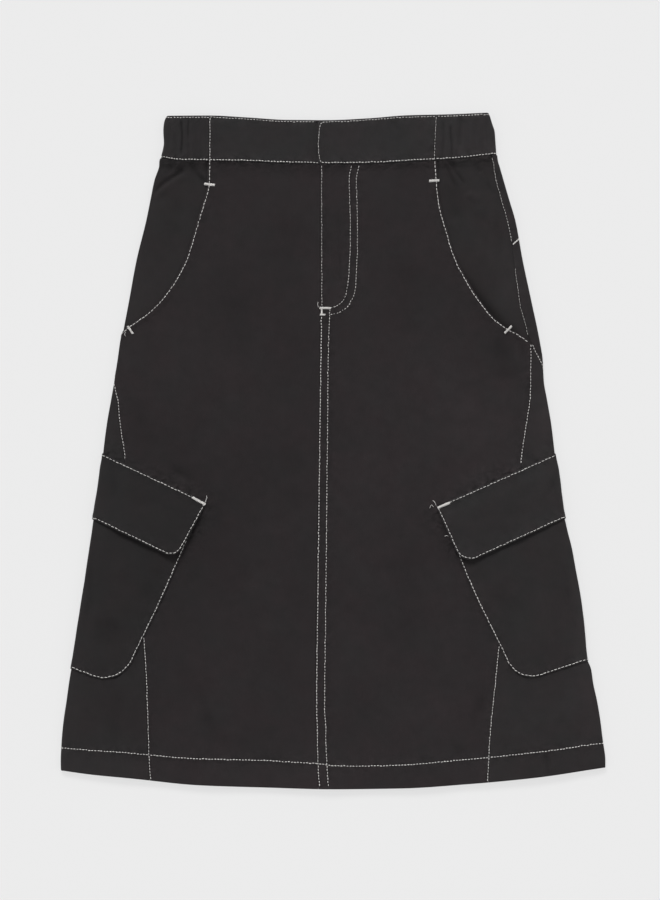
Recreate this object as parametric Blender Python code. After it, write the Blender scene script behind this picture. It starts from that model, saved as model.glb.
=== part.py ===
"""Cargo utility skirt, laid flat on a table with its front up.

The skirt is a tube of cloth pressed flat. Each piece is drawn as a flat outline on the unrolled tube, cut
along the lines where the cloth bends, wrapped round the tube and given the thickness of a wall of cloth.

X runs to the right as the front is seen, Y up towards the waist, Z up off the table. The origin is the
middle of the skirt's footprint, on the table. The tables and sizes here are in millimetres.
Left and right are as the front is seen.
"""

import math

import bmesh
import bpy
from mathutils import Vector

MM = 0.001

# ---- cloth and layers -------------------------------------------------------------------------------------
CLOTH = 1.0  # wall of one layer of cloth
BAND = 1.6  # wall of the folded waistband
TURN_UP = 1.0  # second layer of the turned-up hem, inside the first
LAYER_GAP = 0.3  # space between two pieces that lie on each other
SEAM_GAP = 0.3  # space between two pieces that meet at a seam
LAYER = CLOTH + LAYER_GAP  # from one layer to the next

BODY_FRONT = 5.2  # height of the outside of the front above the table
BAND_FRONT = 6.6  # the same at the waistband
POCKET_LIFT = 2 * LAYER  # the back's sides lie on the wrapped pocket and its flap

# ---- levels, measured up the cloth from the middle of the length -------------------------------------------
TOP_LEVEL = 374.0  # top edge of the waistband
WAIST_LEVEL = 324.0  # seam under the waistband
HIP_LEVEL = 250.0  # below here, rows of the cloth run level
KNEE_LEVEL = -240.0  # and below here they begin to follow the hem
TURN_LEVEL = -346.0  # upper edge of the turned-up hem
HEM_LEVEL = -372.0
APEX_LEVEL = 118.2  # where each side panel begins, under the pocket opening
SIDE_TOP = 114.2  # blunt tip of a side panel

# The edges that run across. across is -1 at the left fold and 1 at the right fold; the rest are heights.
EDGES = (
    # across, top, waist, hem
    (-1.00, 375.0, 327.3, -357.8),
    (-0.75, 374.7, 324.1, -366.4),
    (-0.50, 372.6, 323.4, -374.0),
    (-0.25, 370.4, 321.5, -376.6),
    (0.00, 370.2, 320.7, -378.5),
    (0.25, 372.2, 321.2, -377.6),
    (0.50, 375.6, 323.6, -372.8),
    (0.75, 376.6, 326.0, -365.6),
    (1.00, 378.5, 331.4, -354.5),
)
EDGE_TOP, EDGE_WAIST, EDGE_HEM = 1, 2, 3
BACK_DROP = 1.5  # the back's top and hem lie this much inside the front's

# ---- lines that run down the skirt: height, then how far right of the middle on the left and right side ------
LEFT, RIGHT = 1, 2
FOLDS = (
    # height, left fold, right fold
    (-380.0, -303.6, 304.4),
    (-347.0, -304.9, 304.7),
    (-324.0, -303.9, 301.6),
    (-302.0, -301.9, 299.2),
    (-280.0, -298.6, 295.4),
    (-260.0, -295.6, 290.8),
    (0.0, -257.6, 248.0),
    (57.0, -249.5, 239.5),
    (79.0, -245.0, 235.8),
    (124.0, -237.6, 231.1),
    (169.0, -228.3, 221.7),
    (213.0, -219.8, 212.4),
    (258.0, -209.0, 203.9),
    (281.0, -204.2, 197.2),
    (303.0, -200.1, 190.7),
    (316.0, -195.6, 187.2),
    (330.0, -191.0, 182.8),
    (345.0, -189.0, 181.6),
    (358.0, -188.4, 180.8),
    (368.0, -187.0, 176.6),
    (380.0, -183.6, 174.0),
)
CENTRE_FRONT = (
    # height, place
    (-380.0, -16.6),
    (-280.0, -19.6),
    (150.0, -14.3),
    (330.0, -14.3),
)
FRONT_EDGES = (
    # height, left, right: the pocket opening down to the apex, then the seam to the side panel
    (-380.0, -204.2, 173.5),
    (-341.0, -205.8, 175.2),
    (-318.0, -206.1, 176.3),
    (-257.0, -208.4, 182.5),
    (-211.0, -211.7, 187.0),
    (3.0, -234.1, 213.0),
    (34.0, -238.6, 217.6),
    (57.0, -241.6, 221.1),
    (77.0, -246.3, 222.0),
    (APEX_LEVEL, -248.1, 222.3),
    (131.0, -237.0, 204.6),
    (139.0, -226.7, 190.5),
    (148.0, -213.0, 180.5),
    (159.0, -199.5, 171.5),
    (175.0, -185.8, 160.0),
    (195.5, -173.0, 148.3),
    (217.0, -163.0, 137.7),
    (241.0, -156.0, 130.5),
    (271.0, -147.3, 121.9),
    (298.0, -140.5, 117.5),
    (335.0, -139.8, 115.8),
)
BACK_EDGES = (
    # height, left, right: the seam to the side panel, then the side seam above the apex
    (-380.0, -437.0, 408.0),
    (-200.0, -376.0, 342.0),
    (0.0, -299.5, 271.0),
    (91.0, -262.0, 235.8),
    (APEX_LEVEL, -248.1, 222.3),
    (149.5, -239.0, 213.3),
    (174.0, -234.0, 207.7),
    (204.0, -229.0, 203.8),
    (241.0, -224.4, 199.3),
    (277.0, -215.0, 189.8),
    (306.0, -208.0, 182.5),
    (340.0, -204.0, 177.0),
)

# ---- waistband ----------------------------------------------------------------------------------------------
BAND_SEAMS = (
    # height, left, right: where the smooth front bands meet the gathered band
    (320.0, -138.6, 114.4),
    (380.0, -138.6, 116.0),
)
LAP_EDGE = -16.8  # end of the right band, which lies over the left one
LAP_END = 14.0  # hidden end of the left band under it
LAP_CORNER = 5.0
LAP_DIP = BAND + LAYER_GAP  # how far the left band goes down under the right one
LAP_RAMP = 12.0
LAP_CLEAR = 1.0  # the left band is fully down this far before the lap
RAMP_STEPS = 3

# ---- hip facings ----------------------------------------------------------------------------------------------
FACING_INSET = 14.0  # how far a facing runs under the front panel
FACING_OVER = 5.0  # and past the side seam, under the back panel
FACING_END = 6.0  # and below the apex
FACING_TURNS = tuple(0.56 + 0.04 * i for i in range(11))  # its creases are near these turns
FACING_LEVELS = tuple(266.0 + 8.0 * i for i in range(7))  # and these levels

# ---- cargo pockets and flaps: corners on the unrolled cloth, inner edge first --------------------------------
POCKET_CORNERS = {
    # place, height, corner radius
    "left": (
        (-151.5, -76.0, 2.0),
        (-238.0, -264.4, 36.0),
        (-350.8, -222.0, 14.0),
        (-318.4, 1.8, 2.0),
    ),
    "right": (
        (124.5, -80.0, 2.0),
        (205.5, -260.4, 31.0),
        (344.0, -215.4, 14.0),
        (308.4, 1.5, 2.0),
    ),
}
FLAP_CORNERS = {
    # place, height, corner radius
    "left": (
        (-141.0, -57.5, 1.5),
        (-175.5, -121.0, 15.0),
        (-328.0, -47.0, 8.0),
        (-318.8, 25.4, 1.5),
    ),
    "right": (
        (115.3, -62.3, 1.5),
        (144.5, -128.3, 18.0),
        (320.0, -48.3, 8.0),
        (308.8, 23.4, 1.5),
    ),
}
FLAP_SEAT = 9.0  # strip along the flap's top edge that is sewn down on the body
FLAP_RISE = 8.0  # below it, the flap climbs onto the pocket over this length

# ---- largest folds --------------------------------------------------------------------------------------------
GAPE_HEIGHT = 3.0  # the right pocket opening stands off its facing
GAPE_PLACE = (174.0, 158.0)
GAPE_REACH = (34.0, 40.0)
CREASES = (
    # from x, from y, to x, to y, half width, depth: troughs in the hip facings under the waistband
    (-197.0, 288.0, -182.0, 304.0, 7.0, 1.1),
    (-182.0, 304.0, -160.0, 314.0, 8.0, 1.2),
    (124.0, 322.0, 142.0, 296.0, 6.0, 0.9),
    (148.0, 322.0, 164.0, 300.0, 6.0, 0.7),
)
GATHER_WAVE = 13.0  # spacing of the gathers along the elasticated band
GATHER_DEPTH = 1.1
GATHER_STEPS = 4  # flats along one gather
BACK_PLEAT_WAVE = 26.0  # soft pleats of the back panel under the elastic
BACK_PLEAT_DEPTH = 0.9
BACK_PLEAT_FADE = 60.0
BACK_PLEAT_START = 2.12  # turns between which the pleats grow
BACK_PLEAT_FULL = 2.3
BACK_PLEAT_TURNS = tuple(2.08 + 0.031 * i for i in range(60))
BACK_PLEAT_LOW = 258.0

# ---- lines along which the cloth may bend ---------------------------------------------------------------------
FRONT_LINES = tuple(i / 5 for i in range(-5, 6))
TURN_STEPS = 5  # flats round each fold
BACK_FLAT = 2.35  # the raised sides of the back reach this far, and come down to the table at BACK_DOWN
BACK_DOWN = 2.65
BACK_LINES = (BACK_FLAT, 2.5, BACK_DOWN, 3.0)
FOLD_LINES = (-2.0, -1.0, 1.0, 2.0)  # where the flats of the tube meet its folds
BEHIND = 1.5  # past the middle of a fold, in turns, the cloth is the back's
BEHIND_REACH = 0.5
ROUND = 6.0  # once round the tube: 2 for the front, 2 for the back and 1 for each fold
LIFT_LEVELS = (
    # height, share of POCKET_LIFT
    (-300.0, 0.0),
    (-262.0, 1.0),
    (30.0, 1.0),
    (75.0, 0.0),
)
ROW_LEVELS = (
    TURN_LEVEL, -324.0, -300.0, -281.0, -262.0, -180.0, -90.0, 0.0, 30.0, 52.0, 75.0, 96.0,
    125.0, 148.0, 169.0, 191.0, 213.0, 236.0, 258.0, 281.0, 303.0,
)
OUTLINE_LEVELS = (SIDE_TOP, APEX_LEVEL, 131.0, 139.0, 159.0, 180.0, 202.0)  # more corners of outlines
BAND_LEVELS = (345.0, 362.0)
DRAWING_SCALE = 250.0  # the unrolled cloth is drawn at this many millimetres for each unit round the tube
CUT_TOLERANCE = 0.4  # a bend line this near a corner runs through it
EDGE_CLEAR = 1.0  # an edge gets no corner this near to its ends
LINE_CLEAR = 0.002  # an outline gets no corner this near, in turns, to one that it has
HALVINGS = 24
SETTLINGS = 8  # a point's level and its height follow from each other in this many rounds
SHORTEST_EDGE = 0.03  # corners nearer than this are one
CORNER_STEPS = 4

MATERIALS = {
    # name: colour, roughness
    "front_cloth": ((0.0273, 0.0232, 0.0242), 0.88),
    "side_cloth": ((0.0262, 0.0224, 0.0236), 0.88),
    "back_cloth": ((0.0268, 0.0229, 0.0239), 0.88),
    "facing_cloth": ((0.0251, 0.0213, 0.0226), 0.90),
    "band_cloth": ((0.0296, 0.0273, 0.0277), 0.86),
    "pocket_cloth": ((0.0257, 0.0224, 0.0231), 0.88),
    "flap_cloth": ((0.0268, 0.0232, 0.0242), 0.87),
}


def clamp(value, low, high):
    return max(low, min(high, value))


def ease(value):
    """A smooth step from 0 to 1."""
    share = clamp(value, 0.0, 1.0)
    return share * share * (3.0 - 2.0 * share)


def read(table, at, column):
    """Reads a column of a table between its rows, on a smooth curve that never swings past them."""
    last = len(table) - 1
    at = clamp(at, table[0][0], table[last][0])
    row = next(i for i in range(last) if at <= table[i + 1][0])

    def chord(i):
        return (table[i + 1][column] - table[i][column]) / (table[i + 1][0] - table[i][0])

    def slope(i):
        before, after = chord(max(i - 1, 0)), chord(min(i, last - 1))
        return 2 * before * after / (before + after) if before * after > 0 else 0.0

    span = table[row + 1][0] - table[row][0]
    t = (at - table[row][0]) / span
    start, end = table[row][column], table[row + 1][column]
    rise = span * slope(row), span * slope(row + 1)
    return (
        start * (1 + 2 * t) * (1 - t) ** 2
        + rise[0] * t * (1 - t) ** 2
        + end * t * t * (3 - 2 * t)
        + rise[1] * t * t * (t - 1)
    )


def read_straight(table, at, column):
    """Reads a column of a table between its rows, in straight lines."""
    at = clamp(at, table[0][0], table[-1][0])
    row = next(i for i in range(len(table) - 1) if at <= table[i + 1][0])
    share = (at - table[row][0]) / (table[row + 1][0] - table[row][0])
    return table[row][column] + share * (table[row + 1][column] - table[row][column])


# ---- from the unrolled cloth to the laid skirt ------------------------------------------------------------------
# A place on the tube is (turn, level). turn is -1 to 1 across the front, 1 to 2 round the right fold and 2 to 4
# across the back; going left it is -1 to -2 round the left fold and -2 to -4 across the back. Adding ROUND
# comes back to the same place. level is the height up the cloth before its rows bend with the waist and hem.


def nearest_turn(turn):
    """The same place on the tube, between -3 and 3."""
    return turn - ROUND if turn > ROUND / 2 else turn


def across(turn):
    """How far across the laid skirt a place is, from -1 at the left fold to 1 at the right."""
    turn = nearest_turn(turn)
    side = math.copysign(1.0, turn)
    size = abs(turn)
    if size <= 1.0:
        return turn
    return side if size <= 2.0 else side * (3.0 - size)


def bend(turn, level):
    """How far the waist's or hem's curve moves a row of the cloth at this place."""
    place = across(turn)
    behind = ease((abs(nearest_turn(turn)) - BEHIND) / BEHIND_REACH)
    top = read(EDGES, place, EDGE_TOP) - TOP_LEVEL - BACK_DROP * behind
    waist = read(EDGES, place, EDGE_WAIST) - WAIST_LEVEL
    hem = read(EDGES, place, EDGE_HEM) - HEM_LEVEL + BACK_DROP * behind
    if level >= WAIST_LEVEL:
        share = (level - WAIST_LEVEL) / (TOP_LEVEL - WAIST_LEVEL)
        return waist + share * (top - waist)
    if level >= HIP_LEVEL:
        return waist * (level - HIP_LEVEL) / (WAIST_LEVEL - HIP_LEVEL)
    if level <= TURN_LEVEL:
        return hem
    return hem * clamp((KNEE_LEVEL - level) / (KNEE_LEVEL - TURN_LEVEL), 0.0, 1.0)


def lift(level):
    """Height of the back's sides above the table, where they lie on the pockets."""
    return POCKET_LIFT * read_straight(LIFT_LEVELS, level, 1)


def section(level, height, front):
    """Middle and half width of the laid tube's flat part at a height, and the radius of its folds."""
    radius = (front - lift(level)) / 2
    left, right = read(FOLDS, height, LEFT), read(FOLDS, height, RIGHT)
    return (left + right) / 2, (right - left) / 2 - radius, radius


def laid(turn, level, front, out, relief):
    """The laid place of a point that stands out from the cloth's outer surface by out."""
    turn = nearest_turn(turn)
    height = level + bend(turn, level)
    middle, half, radius = section(level, height, front)
    side, size = math.copysign(1.0, turn), abs(turn)
    if size <= 1.0:
        x = middle + turn * half
        return Vector((x, height, front + out + relief(turn, x, height)))
    if size <= 2.0:
        angle = (size - 1.0) * math.pi
        x = middle + side * (half + (radius + out) * math.sin(angle))
        return Vector((x, height, lift(level) + radius + (radius + out) * math.cos(angle)))
    x = middle + side * half * (3.0 - size)
    share = 1.0 - ease((size - BACK_FLAT) / (BACK_DOWN - BACK_FLAT))
    return Vector((x, height, lift(level) * share - out + relief(turn, x, height)))


def on_tube(place, height, front=BODY_FRONT):
    """The (turn, level) of a point given by its distance round the cloth from x = 0 and its height."""
    level = height
    for _ in range(SETTLINGS):
        middle, half, radius = section(level, height, front)
        side = math.copysign(1.0, place - middle)
        distance = abs(place - middle)
        arc = math.pi * radius
        if distance <= half:
            turn = side * distance / half
        elif distance <= half + arc:
            turn = side * (1.0 + (distance - half) / arc)
        else:
            turn = side * (2.0 + (distance - half - arc) / half)
        level = height - bend(turn, level)
    return turn, level


def flat(turn, x, y):
    """No fold of its own."""
    return 0.0


# ---- outlines -----------------------------------------------------------------------------------------------------


def edge(table, side, low, high, shift, front=BODY_FRONT):
    """The part of a line between two levels, as (turn, level), moved sideways by shift, from high to low."""
    column = LEFT if side < 0 else RIGHT

    def turn_at(level):
        height = level
        for _ in range(SETTLINGS):
            turn = on_tube(read(table, height, column) + shift, height, front)[0]
            height = level + bend(turn, level)
        return turn

    between = [level for level in ROW_LEVELS + OUTLINE_LEVELS if low + EDGE_CLEAR < level < high - EDGE_CLEAR]
    levels = sorted([low, *between, high], reverse=True)
    points = [(turn_at(high), high)]
    for above, below in zip(levels, levels[1:]):
        first, last = turn_at(above), turn_at(below)
        found = []
        for line in FOLD_LINES:
            if min(first, last) + LINE_CLEAR < line < max(first, last) - LINE_CLEAR:
                share = halved(lambda share: turn_at(above + share * (below - above)) - line)
                found.append((line, above + share * (below - above)))
        points += found if first < last else found[::-1]
        points.append((last, below))
    return points


def halved(offset):
    """The share between 0 and 1 at which an offset changes sign."""
    low, high = 0.0, 1.0
    starts_below = offset(0.0) < 0
    for _ in range(HALVINGS):
        share = (low + high) / 2
        if (offset(share) < 0) == starts_below:
            low = share
        else:
            high = share
    return share


def rounded(corners):
    """The outline through some corners of (place, height, radius), with round corners, as (turn, level)."""
    count = len(corners)
    points = []
    for i, (place, height, radius) in enumerate(corners):
        corner = Vector((place, height))
        before = (Vector(corners[i - 1][:2]) - corner).normalized()
        after = (Vector(corners[(i + 1) % count][:2]) - corner).normalized()
        half_angle = before.angle(after) / 2
        reach = radius / math.tan(half_angle)
        centre = corner + (before + after).normalized() * radius / math.sin(half_angle)
        start, end = corner + before * reach - centre, corner + after * reach - centre
        sweep = start.angle_signed(end)
        for step in range(CORNER_STEPS + 1):
            angle = -sweep * step / CORNER_STEPS
            spoke = Vector(
                (
                    start.x * math.cos(angle) - start.y * math.sin(angle),
                    start.x * math.sin(angle) + start.y * math.cos(angle),
                )
            )
            points.append(centre + spoke)
    outline = []
    for start, end in zip(points, points[1:] + points[:1]):
        outline.append(on_tube(*start))
        outline += crossings(start, end)
    return outline


def crossings(start, end):
    """Where a straight line on the unrolled cloth crosses the bend lines, from start to end."""
    first, last = on_tube(*start)[0], on_tube(*end)[0]
    found = []
    for line in bend_lines():
        if min(first, last) + LINE_CLEAR < line < max(first, last) - LINE_CLEAR:
            share = halved(lambda share: on_tube(*start.lerp(end, share))[0] - line)
            found.append((line, on_tube(*start.lerp(end, share))[1]))
    return found if first < last else found[::-1]


# ---- solids ---------------------------------------------------------------------------------------------------------


def bend_lines():
    """The turns at which every piece may bend, all the way round and once more."""
    lines = set()
    for start in (-ROUND, 0.0, ROUND):
        lines.update(start + line for line in FRONT_LINES)
        for side in (-1.0, 1.0):
            lines.update(start + side * (1.0 + step / TURN_STEPS) for step in range(TURN_STEPS + 1))
            lines.update(start + side * line for line in BACK_LINES)
    return sorted(lines)


def cut(drawing, at, along, zone=None):
    """Cuts the drawn piece along the line turn = at or level = at, inside a zone of (low, high) levels if given."""
    point = Vector((at * DRAWING_SCALE, 0, 0)) if along == "turn" else Vector((0, at, 0))
    normal = Vector((1, 0, 0)) if along == "turn" else Vector((0, 1, 0))
    faces = [
        face
        for face in drawing.faces
        if zone is None or zone[0] < face.calc_center_median().y < zone[1]
    ]
    edges = {line for face in faces for line in face.edges}
    corners = {vert for face in faces for vert in face.verts}
    bmesh.ops.bisect_plane(
        drawing,
        geom=[*faces, *edges, *corners],
        dist=CUT_TOLERANCE,
        plane_co=point,
        plane_no=normal,
    )


def drawn(outline, more_turns=(), more_levels=(), zone=None, slanted=()):
    """A piece's outline as one flat face, cut along its bend lines into triangles."""
    drawing = bmesh.new()
    corners = [drawing.verts.new((turn * DRAWING_SCALE, level, 0)) for turn, level in outline]
    drawing.faces.new(corners)
    low, high = min(p[0] for p in outline), max(p[0] for p in outline)
    for level in sorted({*ROW_LEVELS, *more_levels}):
        cut(drawing, level, "level")
    for turn in bend_lines():
        if low < turn < high:
            cut(drawing, turn, "turn")
    for turn in more_turns:
        cut(drawing, turn, "turn", zone)
    for line, start, end in slanted:
        cut_along(drawing, line, start, end)
    bmesh.ops.triangulate(drawing, faces=drawing.faces[:])
    drawing.normal_update()
    drawing.faces.ensure_lookup_table()
    if drawing.faces[0].normal.z < 0:
        bmesh.ops.reverse_faces(drawing, faces=drawing.faces[:])
    drawing.verts.index_update()
    return drawing


def thicken(drawing, front, outer, inner, relief):
    """The closed wall of cloth between two distances from the tube, over a drawn piece."""
    wall = bmesh.new()
    middle = (outer(0, 0) + inner(0, 0)) / 2
    places = {}
    for vert in drawing.verts:
        places[vert.index] = (vert.co.x / DRAWING_SCALE, vert.co.y)
    mapped = {i: laid(*place, front, middle, relief) for i, place in places.items()}
    stand_in = merged(drawing, mapped)
    sheets = []
    for distance in (outer, inner):
        sheets.append(
            {
                i: wall.verts.new(laid(*places[i], front, distance(*places[i]), relief) * MM)
                for i in sorted(set(stand_in.values()))
            }
        )
    over, under = sheets
    borders = {}
    for face in drawing.faces:
        corners = [stand_in[vert.index] for vert in face.verts]
        if len(set(corners)) < 3:
            continue
        wall.faces.new([over[i] for i in corners])
        wall.faces.new([under[i] for i in reversed(corners)])
        for a, b in zip(corners, corners[1:] + corners[:1]):
            if (b, a) in borders:
                del borders[b, a]
            else:
                borders[a, b] = True
    for a, b in borders:
        wall.faces.new([over[b], over[a], under[a], under[b]])
    bmesh.ops.triangulate(wall, faces=[face for face in wall.faces if len(face.verts) > 3])
    return wall


def merged(drawing, mapped):
    """For each corner of a drawing, itself, or an earlier corner that its laid place almost touches."""
    stand_in = {vert.index: vert.index for vert in drawing.verts}
    for line in drawing.edges:
        a, b = sorted(vert.index for vert in line.verts)
        if (mapped[a] - mapped[b]).length < SHORTEST_EDGE:
            stand_in[b] = a
    for i in sorted(stand_in):
        stand_in[i] = stand_in[stand_in[i]]
    return stand_in


def material(name):
    """The cloth of a piece."""
    colour, roughness = MATERIALS[name]
    found = bpy.data.materials.get(name)
    if found is None:
        found = bpy.data.materials.new(name)
        found.use_nodes = True
        shader = found.node_tree.nodes["Principled BSDF"]
        shader.inputs["Base Color"].default_value = (*colour, 1.0)
        shader.inputs["Roughness"].default_value = roughness
        shader.inputs["Metallic"].default_value = 0.0
    return found


def add_piece(parent, name, cloth, drawing, outer, inner, front=BODY_FRONT, relief=flat):
    """Adds a named piece of cloth, with its origin at the middle of its own box."""
    drawing.verts.index_update()
    wall = thicken(drawing, front, as_function(outer), as_function(inner), relief)
    drawing.free()
    places = [vert.co for vert in wall.verts]
    low = Vector([min(p[k] for p in places) for k in range(3)])
    high = Vector([max(p[k] for p in places) for k in range(3)])
    centre = (low + high) / 2
    for vert in wall.verts:
        vert.co -= centre
    mesh = bpy.data.meshes.new(name)
    wall.to_mesh(mesh)
    wall.free()
    mesh.materials.append(material(cloth))
    piece = bpy.data.objects.new(name, mesh)
    bpy.context.scene.collection.objects.link(piece)
    piece.parent = parent
    piece.location = centre
    return piece


def as_function(distance):
    """A distance from the tube as a function of (turn, level)."""
    return distance if callable(distance) else lambda turn, level: distance


# ---- the pieces -----------------------------------------------------------------------------------------------------


def panel_inside(turn, level):
    """Inner face of a panel: one layer of cloth, and two where the hem is turned up."""
    return -CLOTH - TURN_UP if level <= TURN_LEVEL + CUT_TOLERANCE else -CLOTH


def gape(turn, x, y):
    """The right front stands off its facing along the pocket opening."""
    across_it = (x - GAPE_PLACE[0]) / GAPE_REACH[0]
    along_it = (y - GAPE_PLACE[1]) / GAPE_REACH[1]
    return GAPE_HEIGHT * math.exp(-across_it * across_it - along_it * along_it)


def creased(turn, x, y):
    """Troughs of the creases in the hip facings, on the front of the skirt."""
    if abs(turn) > 1.0:
        return 0.0
    depth = 0.0
    for from_x, from_y, to_x, to_y, half_width, deepest in CREASES:
        start, way = Vector((from_x, from_y)), Vector((to_x - from_x, to_y - from_y))
        along = clamp((Vector((x, y)) - start).dot(way) / way.length_squared, 0.0, 1.0)
        distance = (Vector((x, y)) - start - way * along).length
        depth = max(depth, deepest * (1.0 - ease(distance / half_width)))
    return -depth


def back_pleats(turn, x, y):
    """Soft pleats that the elastic draws into the top of the back, clear of the facings under its sides."""
    fade = 1.0 - ease((WAIST_LEVEL - y) / BACK_PLEAT_FADE)
    inwards = ease((abs(turn) - BACK_PLEAT_START) / (BACK_PLEAT_FULL - BACK_PLEAT_START))
    wave = 0.5 - 0.5 * math.cos(2 * math.pi * x / BACK_PLEAT_WAVE)
    return BACK_PLEAT_DEPTH * fade * inwards * wave


def add_front(parent, side):
    """A front, from the centre-front seam to the pocket opening and the side panel."""
    gap = side * SEAM_GAP / 2
    top, bottom = WAIST_LEVEL - SEAM_GAP / 2, HEM_LEVEL
    centre_table = [(height, place, place) for height, place in CENTRE_FRONT]
    outer_edge = edge(FRONT_EDGES, side, bottom, top, -gap)
    centre = edge(centre_table, side, bottom, top, gap)
    name = "front_panel_left" if side < 0 else "front_panel_right"
    drawing = drawn(outer_edge + centre[::-1])
    relief = gape if side > 0 else flat
    add_piece(parent, name, "front_cloth", drawing, 0.0, panel_inside, relief=relief)


def add_facing(parent, side):
    """The hip piece seen inside a pocket opening, one layer down."""
    top, bottom = WAIST_LEVEL - SEAM_GAP / 2, APEX_LEVEL - FACING_END
    inner_edge = edge(FRONT_EDGES, side, bottom, top, -side * FACING_INSET)
    outer_edge = edge(BACK_EDGES, side, bottom, top, side * FACING_OVER)
    more_turns = [side * turn for turn in FACING_TURNS]
    name = "hip_facing_left" if side < 0 else "hip_facing_right"
    zone = (FACING_LEVELS[0], TOP_LEVEL)
    drawing = drawn(outer_edge + inner_edge[::-1], more_turns, FACING_LEVELS, zone)
    add_piece(parent, name, "facing_cloth", drawing, -LAYER, -LAYER - CLOTH, relief=creased)


def add_side(parent, side):
    """The wedge between a front and the back, from the apex to the hem."""
    gap = side * SEAM_GAP / 2
    front_seam = edge(FRONT_EDGES, side, HEM_LEVEL, SIDE_TOP, gap)
    back_seam = edge(BACK_EDGES, side, HEM_LEVEL, SIDE_TOP, -gap)
    name = "side_panel_left" if side < 0 else "side_panel_right"
    drawing = drawn(front_seam + back_seam[::-1])
    add_piece(parent, name, "side_cloth", drawing, 0.0, panel_inside)


def add_back(parent):
    """The back, from the right side seam round to the left."""
    gap = SEAM_GAP / 2
    top = WAIST_LEVEL - gap
    right_edge = edge(BACK_EDGES, 1, HEM_LEVEL, top, gap)
    left_edge = [
        (turn + ROUND, level) for turn, level in edge(BACK_EDGES, -1, HEM_LEVEL, top, -gap)
    ]
    zone = (BACK_PLEAT_LOW, TOP_LEVEL)
    drawing = drawn(right_edge + left_edge[::-1], BACK_PLEAT_TURNS, zone=zone)
    add_piece(parent, "back_panel", "back_cloth", drawing, 0.0, panel_inside, relief=back_pleats)


def upright(place):
    """A table for an upright line at one distance from the middle."""
    return (FOLDS[0][0], place, place), (FOLDS[-1][0], place, place)


def add_front_bands(parent):
    """The two smooth front bands. The right one laps over the left at the centre."""
    low, high = WAIST_LEVEL + SEAM_GAP / 2, TOP_LEVEL
    middle = (low + high) / 2
    left_seam = edge(BAND_SEAMS, -1, low, high, SEAM_GAP / 2, BAND_FRONT)
    left_end = edge(upright(LAP_END), -1, low, high, 0.0, BAND_FRONT)
    ramp = [LAP_EDGE - LAP_CLEAR - LAP_RAMP * i / RAMP_STEPS for i in range(RAMP_STEPS, -1, -1)]
    ramp_turns = [on_tube(place, middle, BAND_FRONT)[0] for place in ramp]

    def dipped(turn, level):
        return -LAP_DIP * ease((turn - ramp_turns[0]) / (ramp_turns[-1] - ramp_turns[0]))

    def dipped_inside(turn, level):
        return dipped(turn, level) - BAND

    drawing = drawn(left_seam + left_end[::-1], ramp_turns, BAND_LEVELS)
    add_piece(
        parent, "waistband_front_left", "band_cloth", drawing, dipped, dipped_inside, BAND_FRONT
    )
    right_seam = edge(BAND_SEAMS, 1, low, high, -SEAM_GAP / 2, BAND_FRONT)
    lap_bottom = on_tube(LAP_EDGE, low + bend(0.0, low), BAND_FRONT)[0]
    curve = []
    for step in range(CORNER_STEPS + 1):
        angle = math.pi / 2 * step / CORNER_STEPS
        place = LAP_EDGE + LAP_CORNER * (1 - math.sin(angle))
        level = high - LAP_CORNER * (1 - math.cos(angle))
        curve.append((on_tube(place, level + bend(0.0, level), BAND_FRONT)[0], level))
    drawing = drawn([*curve, (lap_bottom, low), *right_seam[::-1]], (), BAND_LEVELS)
    add_piece(parent, "waistband_front_right", "band_cloth", drawing, 0.0, -BAND, BAND_FRONT)


def add_back_band(parent):
    """The elasticated band, gathered all along, from the right hip pocket round to the left."""
    low, high = WAIST_LEVEL + SEAM_GAP / 2, TOP_LEVEL
    middle = (low + high) / 2
    right_seam = edge(BAND_SEAMS, 1, low, high, SEAM_GAP / 2, BAND_FRONT)
    left_seam = [
        (turn + ROUND, level)
        for turn, level in edge(BAND_SEAMS, -1, low, high, -SEAM_GAP / 2, BAND_FRONT)
    ]
    start = max(point[0] for point in right_seam)
    end = min(point[0] for point in left_seam)
    half = section(middle, middle, BAND_FRONT)[1]
    step = GATHER_WAVE / GATHER_STEPS / half

    def gathered(turn, level):
        size = abs(nearest_turn(turn))
        if 1.0 < size < 2.0:
            return 0.0
        from_fold = (1.0 - size if size <= 1.0 else size - 2.0) * half
        wave = 0.5 - 0.5 * math.cos(2 * math.pi * from_fold / GATHER_WAVE)
        fade = ease(min(turn - start, end - turn) * half / GATHER_WAVE)
        return -GATHER_DEPTH * wave * fade

    def gathered_inside(turn, level):
        return gathered(turn, level) - BAND

    front_steps = [1.0 - step * i for i in range(1, int((1.0 - start) / step))]
    back_steps = [2.0 + step * i for i in range(1, int(1.0 / step))]
    turns = [*front_steps, *back_steps]
    turns += [ROUND - turn for turn in turns]
    turns = [turn for turn in turns if start + step / 2 < turn < end - step / 2]
    drawing = drawn(right_seam + left_seam[::-1], turns, BAND_LEVELS)
    add_piece(
        parent, "waistband_back", "band_cloth", drawing, gathered, gathered_inside, BAND_FRONT
    )


def add_pocket(parent, side_name):
    """A patch pocket that wraps round the side of the skirt."""
    drawing = drawn(rounded(POCKET_CORNERS[side_name]))
    name = "cargo_pocket_" + side_name
    add_piece(parent, name, "pocket_cloth", drawing, LAYER, LAYER_GAP)


def below_line(start, slope, drop):
    """A line on the unrolled cloth as turn -> (turn, level): through start, at a slope, moved down by drop."""

    def point(turn):
        height = start[1]
        for _ in range(SETTLINGS):
            level = height - bend(turn, height)
            place = place_of(turn, level, height)
            height = start[1] - drop + slope * (place - start[0])
        return turn, height - bend(turn, height)

    return point


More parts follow.
